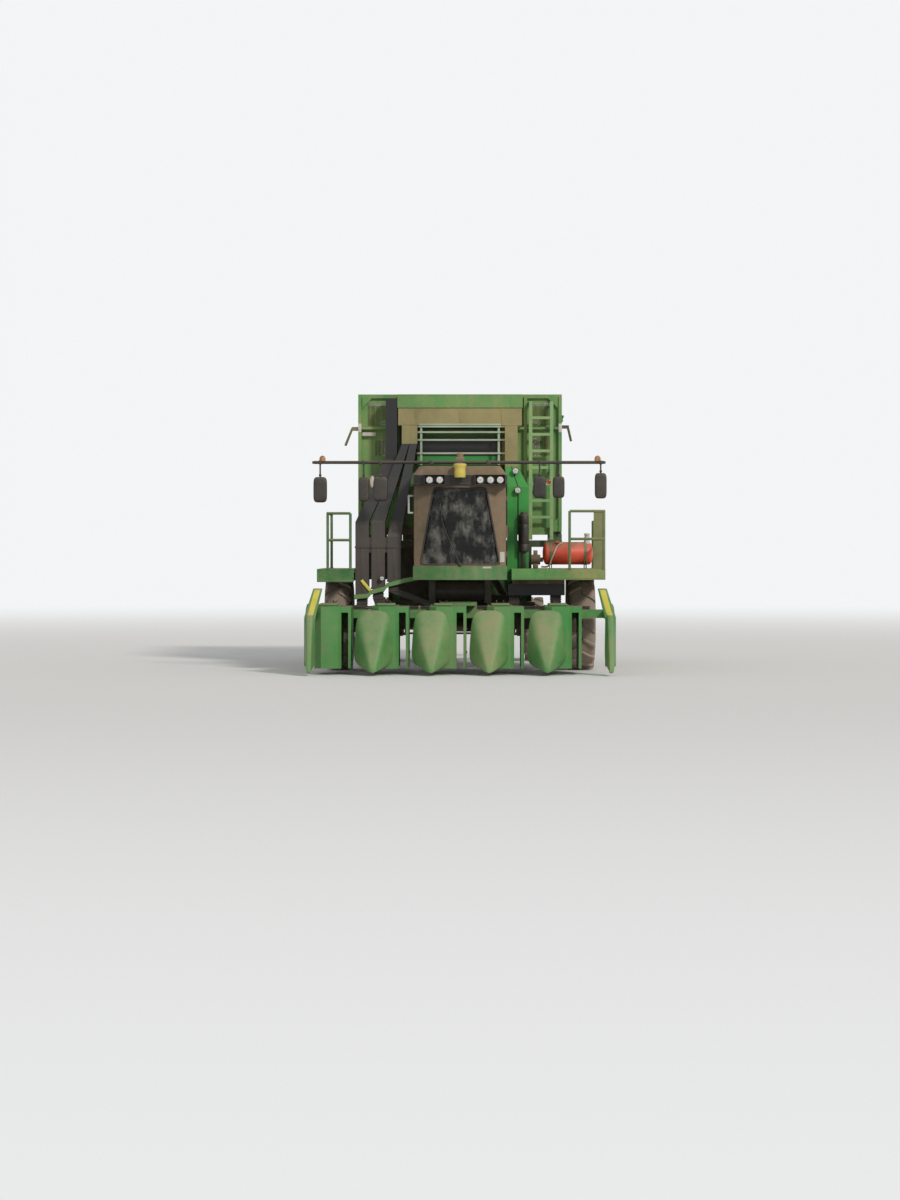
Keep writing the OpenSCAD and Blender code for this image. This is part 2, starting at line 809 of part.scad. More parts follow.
module steering_console() {
    y = cab_back_y - 1020;
    z = cab_sill_z;
    color(DARK) {
        block([-110, 110], [y - 160, y + 20], [z, z + 420]);
        bar([0, y - 60, z + 380], [0, y + 60, z + 660], 45);
        translate([0, y + 60, z + 660])
            rotate([-23, 0, 0]) {
                rotate_extrude() translate([190, 0]) circle(r = 15, $fn = 24);
                for (a = [90, 210, 330])
                    rotate([0, 0, a]) rotate([0, 90, 0]) cylinder(h = 190, r = 11, $fn = 16);
                cylinder(h = 24, r = 50, center = true);
            }
        // side console with the control lever
        block([-520, -380], [y + 120, y + 720], [z, z + 560]);
        bar([-450, y + 220, z + 540], [-450, y + 180, z + 720], 14);
        translate([-450, y + 180, z + 720]) sphere(r = 38, $fn = 24);
        // monitor
        block([420, 450], [y - 40, y + 160], [z + 620, z + 800]);
        block([425, 445], [y + 40, y + 80], [z, z + 640]);
    }
}

module cab_door() {
    color("tan")
        difference() {
            block([cab_w / 2 - wall, cab_w / 2], [door_y0 + door_gap, door_y1 - door_gap],
                [cab_sill_z + 30 + door_gap, cab_eave_z - 30 - door_gap]);
            block([cab_w / 2 - wall - 1, cab_w / 2 + 1],
                [door_y0 + post_inset, door_y1 - post_inset],
                [cab_sill_z + 30 + post_inset, cab_eave_z - 30 - post_inset]);
        }
    color(DARK)
        block([cab_w / 2 - 1, cab_w / 2 + 35], [door_y0 + 40, door_y0 + 70], [2380, 2600]);
    // hinge knuckles
    color(DARK)
        for (z = [2050, 3050])
            translate([cab_w / 2 + 30, door_y1 - 40, z]) {
                cylinder(h = 90, r = 20);
                translate([-32, -60, 0]) cube([32, 60, 90]);
            }
}

module door_glass() {
    color("slategray", 0.5)
        block([cab_w / 2 - wall / 2 - glass_t / 2, cab_w / 2 - wall / 2 + glass_t / 2],
            [door_y0 + post_inset, door_y1 - post_inset],
            [cab_sill_z + 30 + post_inset, cab_eave_z - 30 - post_inset]);
}

// Lamps, mirrors and the beacon

lamp_xs = [-535, -355, 355, 535, 705];
lamp_r = 66;
lamp_z = 3392;
tail_lamp_x = 1120;

// A round lamp that faces forward, its back at y
module lamp(x, y, z, r) {
    along_y(y - 90, y, x, z, r);
}

module lamps() {
    color("white") {
        for (x = lamp_xs)
            lamp(x, cab_y - 20.3, lamp_z, lamp_r);
        for (p = [[1000, 3590], [1040, 3240]])
            lamp(p[0], duct_front(p[1] - 60) - 0.3, p[1], 60);
        for (s = [LEFT, RIGHT])
            along_y(bumper_y[0], bumper_y[1] - 5, s * tail_lamp_x, rail_z + 270, 60);
        for (s = [LEFT, RIGHT])
            block([s * tail_lamp_x - 20, s * tail_lamp_x + 20],
                [bumper_y[0] + 30, bumper_y[0] + 60], [rail_z + 200.3, rail_z + 250]);
    }
}

module beacon() {
    y = cab_y - 20;
    color("khaki") {
        translate([0, y - 120, 3430]) cylinder(h = 200, r = 100);
        translate([0, y - 120, 3629]) cylinder(h = 60, r = 115);
        block([-50, 50], [y - 120, y + 300], [cab_top_z + 0.3, cab_top_z + 30]);
    }
    color("saddlebrown")
        block([-75, 75], [y + 260, y + 400], [cab_top_z + 0.3, 3880]);
}

mirror_y = cab_y + 170;
mirror_z = cab_top_z + 65;
// Columns: middle x, width, lower z, upper z
mirrors = [[-2460, 240, 3000, 3450], [-1695, 190, 3020, 3450], [-1400, 260, 3020, 3450],
    [1400, 220, 3080, 3460], [1735, 210, 3080, 3460], [2475, 210, 3070, 3520]];

module mirror_bar() {
    color(DARK) {
        along_x(-2600, 2560, mirror_y, mirror_z, 28);
        for (m = mirrors) {
            block([m[0] - m[1] / 2, m[0] + m[1] / 2], [mirror_y - 40, mirror_y + 20],
                [m[2], m[3]]);
            translate([m[0], mirror_y, m[3] - 5]) cylinder(h = mirror_z - m[3] + 5, r = 14);
        }
        for (x = [-2420, 2420])
            translate([x, mirror_y, mirror_z]) cylinder(h = 110, r = 55);
        for (x = [-500, 500])
            block([x - 40, x + 40], [mirror_y - 40, mirror_y + 40],
                [cab_top_z + 0.3, mirror_z + 35]);
    }
}

// Decks, handrails and ladder

// A deck plate with a fascia on its front, back and outer sides
module deck(x, drop, outer_x) {
    block(x, deck_y, [deck_z - deck_t, deck_z]);
    for (y = [deck_y[0], deck_y[1] - 40])
        block(x, [y, y + 40], [deck_z - drop, deck_z - deck_t + 1]);
    block([outer_x, outer_x + 40], deck_y, [deck_z - drop, deck_z - deck_t + 1]);
    block([x[0], x[0] + 40], deck_y, [deck_z - 70, deck_z - deck_t + 1]);
    block([x[1] - 40, x[1]], deck_y, [deck_z - 70, deck_z - deck_t + 1]);
}

module decks() {
    color(GREEN) {
        difference() {
            deck(deck_left_x, 190, deck_left_x[1] - 40);
            block([bank_left_x[0] - 30, bank_left_x[1] + 30],
                [bank_left_y[0] - 30, bank_left_y[1] + 30], [deck_z - 200, deck_z + 1]);
            // room for the stand's front post and the front tipping cylinder
            block([deck_left_x[0] - 1, post_x + post_w / 2 + 25],
                [stand_ys[0] - post_w / 2 - 25, deck_y[1] + 1], [deck_z - 200, deck_z + 1]);
        }
        deck(deck_right_x, 230, deck_right_x[0]);
        // posts on the front axle's uprights, and beams out to the decks
        for (s = [LEFT, RIGHT]) {
            block([s * 1150 - 60, s * 1150 + 60],
                [front_y + 40, front_y + 120], [rail_top_z + 0.3, deck_z - deck_t + 1]);
            block([min(s * 1100, s * 1900), max(s * 1100, s * 1900)],
                [front_y + 80, front_y + 240], [deck_z - 120, deck_z - deck_t + 1]);
        }
    }
}

rail_r = 24;
rail_end_y = basket_y0 - 120;

module handrails() {
    color(GREEN) {
        // left deck: front frame and the outer side
        for (p = [[[1930, 2850], [2530, 2850]], [[1930, 2360], [2530, 2360]]])
            bar([p[0][0], deck_y[0] + 20, p[0][1]], [p[1][0], deck_y[0] + 20, p[1][1]], rail_r);
        block([2352, 2530], [deck_y[0] + 14, deck_y[0] + 26], [deck_z + 0.3, 2850]);
        for (y = [deck_y[0] + 20, rail_end_y])
            for (x = [y < -2900 ? 1930 : 2535, 2535])
                bar([x, y, deck_z + 0.3], [x, y, 2850], rail_r);
        for (z = [2360, 2850])
            bar([2535, deck_y[0] + 20, z], [2535, rail_end_y, z], rail_r);
        // right deck
        for (z = [2340, 2810]) {
            bar([-2330, deck_y[0] + 20, z], [-1930, deck_y[0] + 20, z], rail_r);
            bar([-2330, deck_y[0] + 20, z], [-2330, rail_end_y, z], rail_r);
        }
        for (p = [[-2330, deck_y[0] + 20], [-1930, deck_y[0] + 20], [-2330, rail_end_y]])
            bar([p[0], p[1], deck_z + 0.3], [p[0], p[1], 2810], rail_r);
    }
}

ladder_x = [1960, 2420];
ladder_y = deck_y[1] + 0.3;

module access_ladder() {
    run = 260;
    foot_z = 430;
    steps = 5;
    color(GREEN) {
        for (x = ladder_x)
            translate([x - 12, ladder_y, 0])
                rotate([90, 0, 90])
                    linear_extrude(24)
                        polygon([[0, deck_z], [70, deck_z], [run + 70, foot_z], [run, foot_z],
                            [0, deck_z - 120]]);
        for (i = [0 : steps - 1]) {
            z = foot_z + 40 + i * (deck_z - foot_z) / steps;
            y = ladder_y + run * (deck_z - z) / (deck_z - foot_z);
            block([ladder_x[0], ladder_x[1]], [y - 30, y + 130], [z, z + 30]);
        }
        rail([[ladder_x[1] + 30, ladder_y + 40, deck_z - 200],
            [ladder_x[1] + 30, ladder_y + 40, deck_z + 850],
            [ladder_x[1] + 30, ladder_y - 260, deck_z + 850],
            [ladder_x[1] + 30, ladder_y - 260, deck_z + 0.3]], rail_r);
    }
}

tank_r = 205;
tank_x = [1490, 2400];
pump_x = [1275, 1450];
tank_y = -1680 * along;

module red_tank() {
    z = deck_z + 70 + tank_r;
    color("tomato") {
        along_x(tank_x[0] + 60, tank_x[1] - 50, tank_y, z, tank_r);
        along_x(tank_x[0], tank_x[1], tank_y, z, tank_r - 45);
        for (x = [tank_x[0] + 120, tank_x[1] - 180])
            block([x, x + 50], [tank_y - 120, tank_y + 120], [deck_z + 0.3, z - 100]);
        translate([tank_x[1] - 110, tank_y - 60, z + 100]) cylinder(h = 260, r = 55);
        // pump and its motor, on a foot
        along_x(pump_x[0], pump_x[1], tank_y, deck_z + 160, 95);
        along_x(pump_x[0] + 60, tank_x[0] + 1, tank_y, deck_z + 160, 40);
        block([pump_x[0] + 40, pump_x[1] - 40], [tank_y - 60, tank_y + 60],
            [deck_z + 0.3, deck_z + 330]);
    }
}

module air_cleaner() {
    y = bank_left_y[0] - 95;
    color(DARK) {
        translate([1150, y, 2130]) cylinder(h = 680, r = 90);
        translate([1150, y, 2790]) cylinder(h = 60, r = 60);
        block([1120, 1180], [y - 20, y + 20], [deck_z + 0.3, 2140]);
    }
}

// Header: toolbar, lift arms and row units

arm_x = rail_x;
pin_eye_r = 80;

module header_frame() {
    color(GREEN) {
        block([-header_w / 2 + 120, header_w / 2 - 120],
            [toolbar_y, toolbar_y + toolbar], [toolbar_z, toolbar_z + toolbar]);
        difference() {
            for (s = [LEFT, RIGHT])
                translate([s * arm_x - 50, 0, 0])
                    rotate([90, 0, 90])
                        linear_extrude(100)
                            union() {
                                translate([lift_y, lift_z]) circle(r = pin_eye_r);
                                polygon([[lift_y, lift_z + pin_eye_r], [lift_y, lift_z - pin_eye_r],
                                    [toolbar_y + 40, toolbar_z - 140],
                                    [toolbar_y, toolbar_z - 140], [toolbar_y, toolbar_z + toolbar],
                                    [toolbar_y + toolbar, toolbar_z + toolbar]]);
                            }
            for (s = [LEFT, RIGHT])
                along_x(s * arm_x - 60, s * arm_x + 60, lift_y, lift_z, lift_pin_r + pin_gap);
        }
        // eyes for the lift cylinders
        for (s = [LEFT, RIGHT])
            for (side = [-1, 1])
                translate([s * lift_cyl_x + side * 55 - 8, 0, 0])
                    rotate([90, 0, 90])
                        linear_extrude(16)
                            polygon([[lift_eye_y - 40, lift_eye_z - 40],
                                [lift_eye_y + 40, lift_eye_z - 40],
                                [lift_eye_y + 50, toolbar_z + 10],
                                [lift_eye_y - 40, toolbar_z + 10]]);
        // end arms that carry the two end dividers, past the last units
        for (s = [LEFT, RIGHT])
            block([s * (header_w / 2 - 140) - 20, s * (header_w / 2 - 140) + 20],
                [unit_y0, toolbar_y + 10], [toolbar_z, toolbar_z + toolbar]);
        // hangers that carry the row units
        for (x = row_xs)
            block([x - throat_w / 2 - unit_w + 60, x - throat_w / 2 - 60],
                [unit_y1 + 0.3, toolbar_y + 20], [toolbar_z, toolbar_z + toolbar]);
    }
    // gear case in the middle, with a small box beside it
    color(GREEN) {
        block([-370, 300], [toolbar_y - 1, toolbar_y + 110],
            [toolbar_z + toolbar - 1, unit_top_z + 60]);
        block([-340, 280], [unit_y1 - 180, toolbar_y + 10], [unit_top_z + 0.3, unit_top_z + 60]);
    }
}

// Plan of a row unit's wall, about its row at x = 0, from y = 0 to unit_len
module unit_plan() {
    x0 = -throat_w / 2 - unit_w;
    x1 = -throat_w / 2;
    polygon([[x0, 120], [x0 + 120, 0], [x1 - 60, 0], [x1, 60], [x1, unit_len], [x0, unit_len]]);
}

module one_unit() {
    x0 = -throat_w / 2 - unit_w;
    x1 = -throat_w / 2;
    t = 12;
    head = 100;
    translate([0, 0, unit_z])
        linear_extrude(unit_top_z - head - unit_z + 1)
            difference() {
                unit_plan();
                offset_box(x0 + t, x1 + 1, 130, unit_len - t);
            }
    // bridge over the row, and the compressor door
    translate([0, 0, unit_top_z - head])
        linear_extrude(head)
            union() {
                unit_plan();
                translate([x1 - 1, 60]) square([throat_w + door_t + 1, unit_len - 60]);
            }
    block([throat_w / 2, throat_w / 2 + door_t], [60, unit_len],
        [unit_z, unit_top_z - head + 1]);
}

module offset_box(xa, xb, ya, yb) {
    translate([xa, ya]) square([xb - xa, yb - ya]);
}

module unit_cabinets() {
    color(GREEN)
        for (x = row_xs)
            translate([x, unit_y0, 0])
                one_unit();
}

// Picker drums: two upright drums in each unit, their spindles reach towards the row
drum_r = 165;
drum_bars = 8;
spindle_tiers = 5;
spindle_reach = 50;
drum_ys = [330, 780] * along;
drum_z = [unit_z + 70, unit_top_z - 115];

module picker_drum() {
    bar_r = 105;
    h = drum_z[1] - drum_z[0];
    cylinder(h = h + 14.7, r = 35, $fn = 24);
    for (z = [0, h - 25])
        translate([0, 0, z]) cylinder(h = 25, r = bar_r + 22, $fn = 32);
    for (i = [0 : drum_bars - 1])
        rotate([0, 0, i * 360 / drum_bars])
            translate([bar_r, 0, 0]) {
                cylinder(h = h, r = 14, $fn = 12);
                for (t = [0 : spindle_tiers - 1])
                    translate([0, 0, 60 + t * (h - 120) / (spindle_tiers - 1)])
                        rotate([0, 90, 0]) cylinder(h = spindle_reach, r1 = 8, r2 = 4, $fn = 24);
            }
}

module picker_drums() {
    color("silver")
        for (x = row_xs)
            for (y = drum_ys)
                translate([x - throat_w / 2 - drum_r - 30, unit_y0 + y, drum_z[0]])
                    picker_drum();
}

// Snouts between the rows and the two end dividers
snout_z = 60;
snout_w = pitch - throat_w - 160;
div_w = 200;
divider_z = 1500;
// Columns: place across, outwards from the divider's middle, and height
shield = [[-90, unit_z + 40], [div_w / 2, unit_z + 40], [div_w / 2, 1000], [-60, divider_z],
    [-220, divider_z], [-90, 950]];

// A snout: a pointed shell with rounded edges that widens and rises towards the units
module snout(w, top, r) {
    y = unit_y0 - 0.3 - r;
    hull() {
        translate([0, tip_y + 45, snout_z]) cylinder(h = 60, r = 45, $fn = hull_fn);
        for (s = [LEFT, RIGHT]) {
            translate([s * (w / 2 - r), y, unit_z + 20]) cylinder(h = 20, r = r, $fn = hull_fn);
            translate([s * (w / 2 - 2 * r), y, top - r]) sphere(r = r, $fn = hull_fn);
        }
    }
}

module row_snouts() {
    color(GREEN)
        for (i = [0 : rows - 2])
            translate([row_xs[i] + pitch / 2, 0, 0]) snout(snout_w, unit_top_z - 60, 60);
    for (s = [LEFT, RIGHT])
        translate([s * (header_w / 2 - div_w / 2), 0, 0])
            color("yellow") {
                snout(div_w, unit_top_z + 60, 30);
                // shield behind it, which leans in over the crop
                translate([0, unit_y0 - 0.3, 0])
                    rotate([90, 0, 0])
                        linear_extrude(70)
                            polygon([for (p = shield) [s * p[0], p[1]]]);
            }
}

// Suction ducts: from each unit's back, under the toolbar and up to the ducts above
// Columns: riser's middle from its row, its half width, height it rises to, top's middle x,
// top z
suction = [[-300, 90, 860, 120 - wheel_in, 1200], [-300, 90, 860, -1455, 1330],
    [-458, 38, 1140, -1170, 1460], [-295, 90, 860, 960, 1240], [-300, 90, 860, wheel_in - 160, 1240]];
suction_half = 90;
suction_z = [450, 860];
suction_d = 120;

module suction_ducts() {
    y0 = toolbar_y + toolbar + 8;
    color(DARK)
        for (i = [0 : rows - 1]) {
            t = suction[i];
            x = [row_xs[i] + t[0] - t[1], row_xs[i] + t[0] + t[1]];
            y = [y0, y0 + suction_d];
            block(x, [unit_y1 + 0.3, y[1]], suction_z);
            block(x, y, [suction_z[1] - 1, t[2] + 70]);
            hull() {
                block(x, y, [t[2], t[2] + 70]);
                block([t[3] - suction_half, t[3] + suction_half], y, [t[4] - 40, t[4]]);
            }
        }
}

// Cylinders: barrel and rod lie from base point a to eye point b

lift_eye_y = toolbar_y + 60;
lift_eye_z = 640;
lift_a = [0, lift_base_y, lift_base_z];
lift_b = [0, lift_eye_y, lift_eye_z];
tip_eye_x = 200;
tip_eye_z = basket_z - 90;
tip_a = [tip_base_x, 0, tip_base_z];
tip_b = [tip_eye_x, 0, tip_eye_z];

// Barrel along +Z from its base eye, which turns about X
module barrel(len, r, rod_r, eye_pin_r) {
    difference() {
        union() {
            translate([0, 0, 30]) cylinder(h = len - 30, r = r);
            translate([-30, 0, 0]) rotate([0, 90, 0]) cylinder(h = 60, r = eye_pin_r + 28);
        }
        translate([0, 0, 90]) cylinder(h = len, r = rod_r + 0.5);
        translate([-40, 0, 0]) rotate([0, 90, 0]) cylinder(h = 80, r = eye_pin_r + pin_gap);
    }
}

// Rod along +Z, its eye at len
module ram(len, inside, r, eye_r) {
    translate([0, 0, len - inside]) cylinder(h = inside, r = r);
    translate([-26, 0, len]) rotate([0, 90, 0]) cylinder(h = 52, r = eye_r);
}

module at_lift() {
    d = lift_b - lift_a;
    for (s = [LEFT, RIGHT])
        translate(lift_a + [s * lift_cyl_x, 0, 0])
            rotate([atan2(-d[1], d[2]), 0, 0])
                children();
}

module at_tip() {
    d = tip_b - tip_a;
    for (y = tip_cyl_ys)
        translate(tip_a + [0, y, 0])
            rotate([0, atan2(d[0], d[2]), 0])
                rotate([0, 0, 90])
                    children();
}

lift_len = norm(lift_b - lift_a);
tip_len = norm(tip_b - tip_a);

module lift_barrels() {
    color(DARK) at_lift() barrel(lift_len - 130, 50, 28, lift_base_pin_r);
}

module lift_rods() {
    color("silver") at_lift() ram(lift_len, lift_len - 120, 28, 42);
}

module tip_barrels() {
    color(DARK) at_tip() barrel(tip_len - 130, 70, 42, tip_base_pin_r);
}

module tip_rods() {
    color("silver") at_tip() ram(tip_len, tip_len - 120, 42, 55);
}

// Basket

bt = basket_tube;
basket_in = bt - basket_t;
n_frames = 6;
frame_ys = [for (i = [0 : n_frames - 1]) basket_y0 + i * (basket_len - bt) / (n_frames - 1)];
screen_z = [3750, 4750];
bar_pitch = 100;
side_door_z = [basket_z + 300, basket_top_z - 420];
side_door_gap = 8;
// Screens in the front wall. Columns: x from, x to, z from, z to
front_screens = [[-1680, -1260, 4430, 4830], [-1540, -1190, 3880, 4160],
    [1270, 1670, 4430, 4830], [1270, 1670, 3880, 4260]];
// Screens in the rear wall, from and to
rear_xs = [-1650, -850, 0, 850, 1650];
front_post_xs = [-basket_x, -1150, 1160, basket_x - 60];

// Upright bars across a window, along X or along Y
module bars_x(x, y, z) {
    for (i = [1 : floor((x[1] - x[0]) / bar_pitch)])
        block([x[0] + i * bar_pitch - 60, x[0] + i * bar_pitch - 50], y, [z[0] - 5, z[1] + 5]);
}

module bars_y(x, y, z) {
    for (i = [1 : floor((y[1] - y[0]) / bar_pitch)])
        block(x, [y[0] + i * bar_pitch - 60, y[0] + i * bar_pitch - 50], [z[0] - 5, z[1] + 5]);
}

module basket() {
    x0 = -basket_x;
    x1 = basket_x;
    y0 = basket_y0;
    y1 = basket_back_y;
    color(PALE) {
        difference() {
            block([x0 + basket_in, x1 - basket_in], [y0 + basket_in, y1 - basket_in],
                [basket_z + basket_in, basket_top_z - 5]);
            block([x0 + bt, x1 - bt], [y0 + bt, y1 - bt], [basket_z + bt, basket_top_z + 1]);
            // opening of the dump door, in the left wall
            block([x1 - bt - 1, x1 + 1], [y0 + 120, y1 - 120], side_door_z);
            // windows behind the screens
            for (w = front_screens)
                block([w[0], w[1]], [y0 + basket_in - 1, y0 + bt + 1], [w[2], w[3]]);
            for (i = [0 : len(rear_xs) - 2])
                block([rear_xs[i] + 60, rear_xs[i + 1] - 60],
                    [y1 - bt - 1, y1 - basket_in + 1], screen_z);
            for (i = [0 : n_frames - 2])
                block([x0 + basket_in - 1, x0 + bt + 1],
                    [frame_ys[i] + bt + 50, frame_ys[i + 1] - 50], screen_z);
        }
        // screens
        for (w = front_screens)
            bars_x([w[0], w[1]], [y0 + basket_in + 2, y0 + basket_in + 8], [w[2], w[3]]);
        for (i = [0 : len(rear_xs) - 2])
            bars_x([rear_xs[i] + 60, rear_xs[i + 1] - 60],
                [y1 - basket_in - 8, y1 - basket_in - 2], screen_z);
        for (i = [0 : n_frames - 2])
            bars_y([x0 + basket_in + 2, x0 + basket_in + 8],
                [frame_ys[i] + bt + 50, frame_ys[i + 1] - 50], screen_z);
        // rings round the top and the bottom
        for (z = [basket_z, basket_top_z - bt])
            difference() {
                block([x0, x1], [y0, y1], [z, z + bt]);
                block([x0 + bt, x1 - bt], [y0 + bt, y1 - bt], [z - 1, z + bt + 1]);
            }
        // ribs outside the walls, stringers and cross beams under the floor
        for (y = frame_ys)
            block([x0, x0 + basket_in + 2], [y, y + bt], [basket_z + 5, basket_top_z - 5]);
        for (y = [frame_ys[0], frame_ys[n_frames - 1]])
            block([x1 - basket_in - 2, x1], [y, y + bt], [basket_z + 5, basket_top_z - 5]);
        for (y = [frame_ys[1], frame_ys[n_frames - 2]])
            block([x0 + 5, x1 - 5], [y, y + bt], [basket_top_z - bt, basket_top_z]);
        for (x = rear_xs)
            block([x - 30, x + 30], [y1 - basket_in - 2, y1], [basket_z + 5, basket_top_z - 5]);
        for (z = [basket_z + 750, screen_z[0] - 100])
            difference() {
                block([x0 + 8, x1 - bt], [y0 + bt, y1 - 8], [z, z + 50]);
                block([x0 + basket_in + 2, x1], [y0, y1 - basket_in - 2], [z - 1, z + 51]);
            }
        for (y = stand_ys)
            block([x0 + 5, x1 - 5], [y - 35, y + 35], [basket_z, basket_z + basket_in + 2]);
        for (x = [tip_eye_x, -900])
            block([x - 40, x + 40], [y0 + 5, y1 - 5], [basket_z, basket_z + basket_in + 2]);
        // rail under the front wall, short of the pins
        block([x0 + 4, tip_x - 150], [y0 - 24, y0 + basket_in + 2], [tip_z, basket_z + 2]);
        // bar and posts across the front wall
        block([x0 + 4, x1 - 4], [y0 - 24, y0 + basket_in + 2], [4355, 4400]);
        for (x = front_post_xs)
            block([x, x + 60], [y0 - 20, y0 + basket_in + 2], [basket_z, basket_top_z - 40]);
    }
    // lugs on the tipping pins
    color(PALE)
        difference() {
            for (y = stand_ys)
                translate([tip_x, y + 25, tip_z])
                    rotate([90, 0, 0])
                        linear_extrude(50)
                            union() {
                                circle(r = 50);
                                translate([-50, 0]) square([100, basket_z - tip_z + 20]);
                            }
            for (y = stand_ys)
                along_y(y - 30, y + 30, tip_x, tip_z, tip_pin_r + pin_gap);
        }
    // eyes for the tipping cylinders
    color(PALE)
        for (y = tip_cyl_ys)
            for (side = [-1, 1])
                block([tip_eye_x - 60, tip_eye_x + 60],
                    [y + side * 76 - 8, y + side * 76 + 8], [tip_eye_z - 60, basket_z + 5]);
    // ladder on the front wall
    color(PALE) {
        for (x = ladder_xs)
            block([x - 32, x + 32], [y0 - 150, y0 - 120], [2350, 4860]);
        for (x = ladder_xs)
            for (z = [2560, 3600, 4840])
                block([x - 32, x + 32], [y0 - 122, y0 + basket_in + 2], [z - 20, z + 20]);
        for (z = [2760 : 300 : 4600])
            block([ladder_xs[0], ladder_xs[1]], [y0 - 155, y0 - 115], [z - 25, z + 25]);
    }
    // hinge pins of the dump door, each between two plates
    color(PALE)
        for (y = door_hinge_ys) {
            along_y(y - 55, y + 55, door_hinge_x, door_hinge_z, door_pin_r);
            for (side = [-1, 1])
                block([x1 - bt + 5, door_hinge_x + 20], [y + side * 47 - 8, y + side * 47 + 8],
                    [door_hinge_z - 22, door_hinge_z + 22]);
        }
    // latches on the two sides
    color(DARK) {
        block([x0 - 120, x0 + 5], [y0 + 10, y0 + 60], [4330, 4400]);
        bar([x0 - 110, y0 + 35, 4370], [x0 - 235, y0 + 35, 4060], 22);
        block([x1 - 5, x1 + 130], [y0 + 10, y0 + 60], [4370, 4430]);
        bar([x1 + 110, y0 + 35, 4400], [x1 + 170, y0 + 35, 4140], 22);
    }
}

ladder_xs = [1280, 1660];
door_hinge_x = basket_x + 32;
door_hinge_z = side_door_z[1] + 40;
door_hinge_ys = [for (i = [0 : 3]) basket_y0 + 500 + i * (basket_len - 1000) / 3];
door_pin_r = 12;
door_bays = 6;
door_bar = 60;

module basket_door() {
    y0 = basket_y0 + 120 + side_door_gap;
    y1 = basket_back_y - 120 - side_door_gap;
    z0 = side_door_z[0] + side_door_gap;
    z1 = side_door_z[1] - side_door_gap;
    zm = (z0 + z1) / 2 - 30;
    x0 = basket_x - bt;
    rib_x = [x0 + 11, basket_x - 20];
    bay = (y1 - y0 - door_bar) / door_bays;
    color(PALE) {
        difference() {
            block([x0, x0 + 12], [y0, y1], [z0, z1]);
            for (i = [0 : door_bays - 1])
                block([x0 - 1, x0 + 13], [y0 + i * bay + door_bar + 40, y0 + (i + 1) * bay - 40],
                    [zm + door_bar + 40, z1 - door_bar - 40]);
        }
        for (i = [0 : door_bays - 1])
            bars_y([x0 + 2, x0 + 8], [y0 + i * bay + door_bar + 40, y0 + (i + 1) * bay - 40],
                [zm + door_bar + 40, z1 - door_bar - 40]);
        for (z = [z0, zm, z1 - door_bar])
            block(rib_x, [y0, y1], [z, z + door_bar]);
        for (i = [0 : door_bays])
            block(rib_x, [y0 + i * bay, y0 + i * bay + door_bar], [z0, z1]);
        difference() {
            for (y = door_hinge_ys) {
                along_y(y - 30, y + 30, door_hinge_x, door_hinge_z, door_pin_r + 10);
                block([rib_x[1] - 10, door_hinge_x + 6], [y - 30, y + 30],
                    [z1 - 50, z1 - 20]);
                block([door_hinge_x - 14, door_hinge_x + 6], [y - 30, y + 30],
                    [z1 - 50, door_hinge_z]);
            }
            for (y = door_hinge_ys)
                along_y(y - 31, y + 31, door_hinge_x, door_hinge_z, door_pin_r + pin_gap);
        }
    }
}

chassis();
basket_stand();
front_axle();
rear_axle();
engine();
engine_cover();
tanks();
fan_housing();
duct_banks();
duct_hood();
cab_base();
cab_shell();
cab_roof();
cab_glass();
seat();
steering_console();
lamps();
beacon();
mirror_bar();
decks();
handrails();
access_ladder();
red_tank();
air_cleaner();
cab_door();
door_glass();
header_frame();
unit_cabinets();
picker_drums();
row_snouts();
suction_ducts();
lift_barrels();
lift_rods();
basket();
basket_door();
tip_barrels();
tip_rods();
knuckle(LEFT);  // knuckle_left
knuckle(RIGHT);  // knuckle_right
tie_rod();
tyre_front(LEFT);  // tyre_front_left
tyre_front(RIGHT);  // tyre_front_right
rim_front(LEFT);  // rim_front_left
rim_front(RIGHT);  // rim_front_right
tyre_rear(LEFT);  // tyre_rear_left
tyre_rear(RIGHT);  // tyre_rear_right
rim_rear(LEFT);  // rim_rear_left
rim_rear(RIGHT);  // rim_rear_right
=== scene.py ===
import bmesh
import bpy
import numpy as np
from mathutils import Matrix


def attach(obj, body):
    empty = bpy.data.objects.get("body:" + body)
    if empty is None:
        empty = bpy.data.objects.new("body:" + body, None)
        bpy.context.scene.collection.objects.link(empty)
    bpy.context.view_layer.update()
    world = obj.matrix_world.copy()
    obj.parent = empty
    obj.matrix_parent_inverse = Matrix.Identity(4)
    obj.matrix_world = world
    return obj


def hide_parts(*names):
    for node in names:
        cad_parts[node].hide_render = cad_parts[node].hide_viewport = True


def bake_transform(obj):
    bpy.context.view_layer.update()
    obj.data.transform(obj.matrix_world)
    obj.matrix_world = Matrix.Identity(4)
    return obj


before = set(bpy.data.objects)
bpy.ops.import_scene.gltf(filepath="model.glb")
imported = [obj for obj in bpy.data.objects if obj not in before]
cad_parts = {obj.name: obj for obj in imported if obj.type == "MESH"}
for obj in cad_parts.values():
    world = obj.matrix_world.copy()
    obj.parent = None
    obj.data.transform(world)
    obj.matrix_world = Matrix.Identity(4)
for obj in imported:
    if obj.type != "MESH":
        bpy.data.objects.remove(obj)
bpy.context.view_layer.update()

# Main frame: two box rails with cross members, brackets and a rear bumper.
# Welded from cut plate, sprayed green, and bolted down on the two axles.
# Bolt heads show where the axles and the bumper are fixed.

GREEN = (0.03, 0.245, 0.044, 1)
DUST = (0.265, 0.205, 0.125, 1)
UP, AHEAD, LEFT = (0, 0, 1), (0, -1, 0), (1, 0, 0)


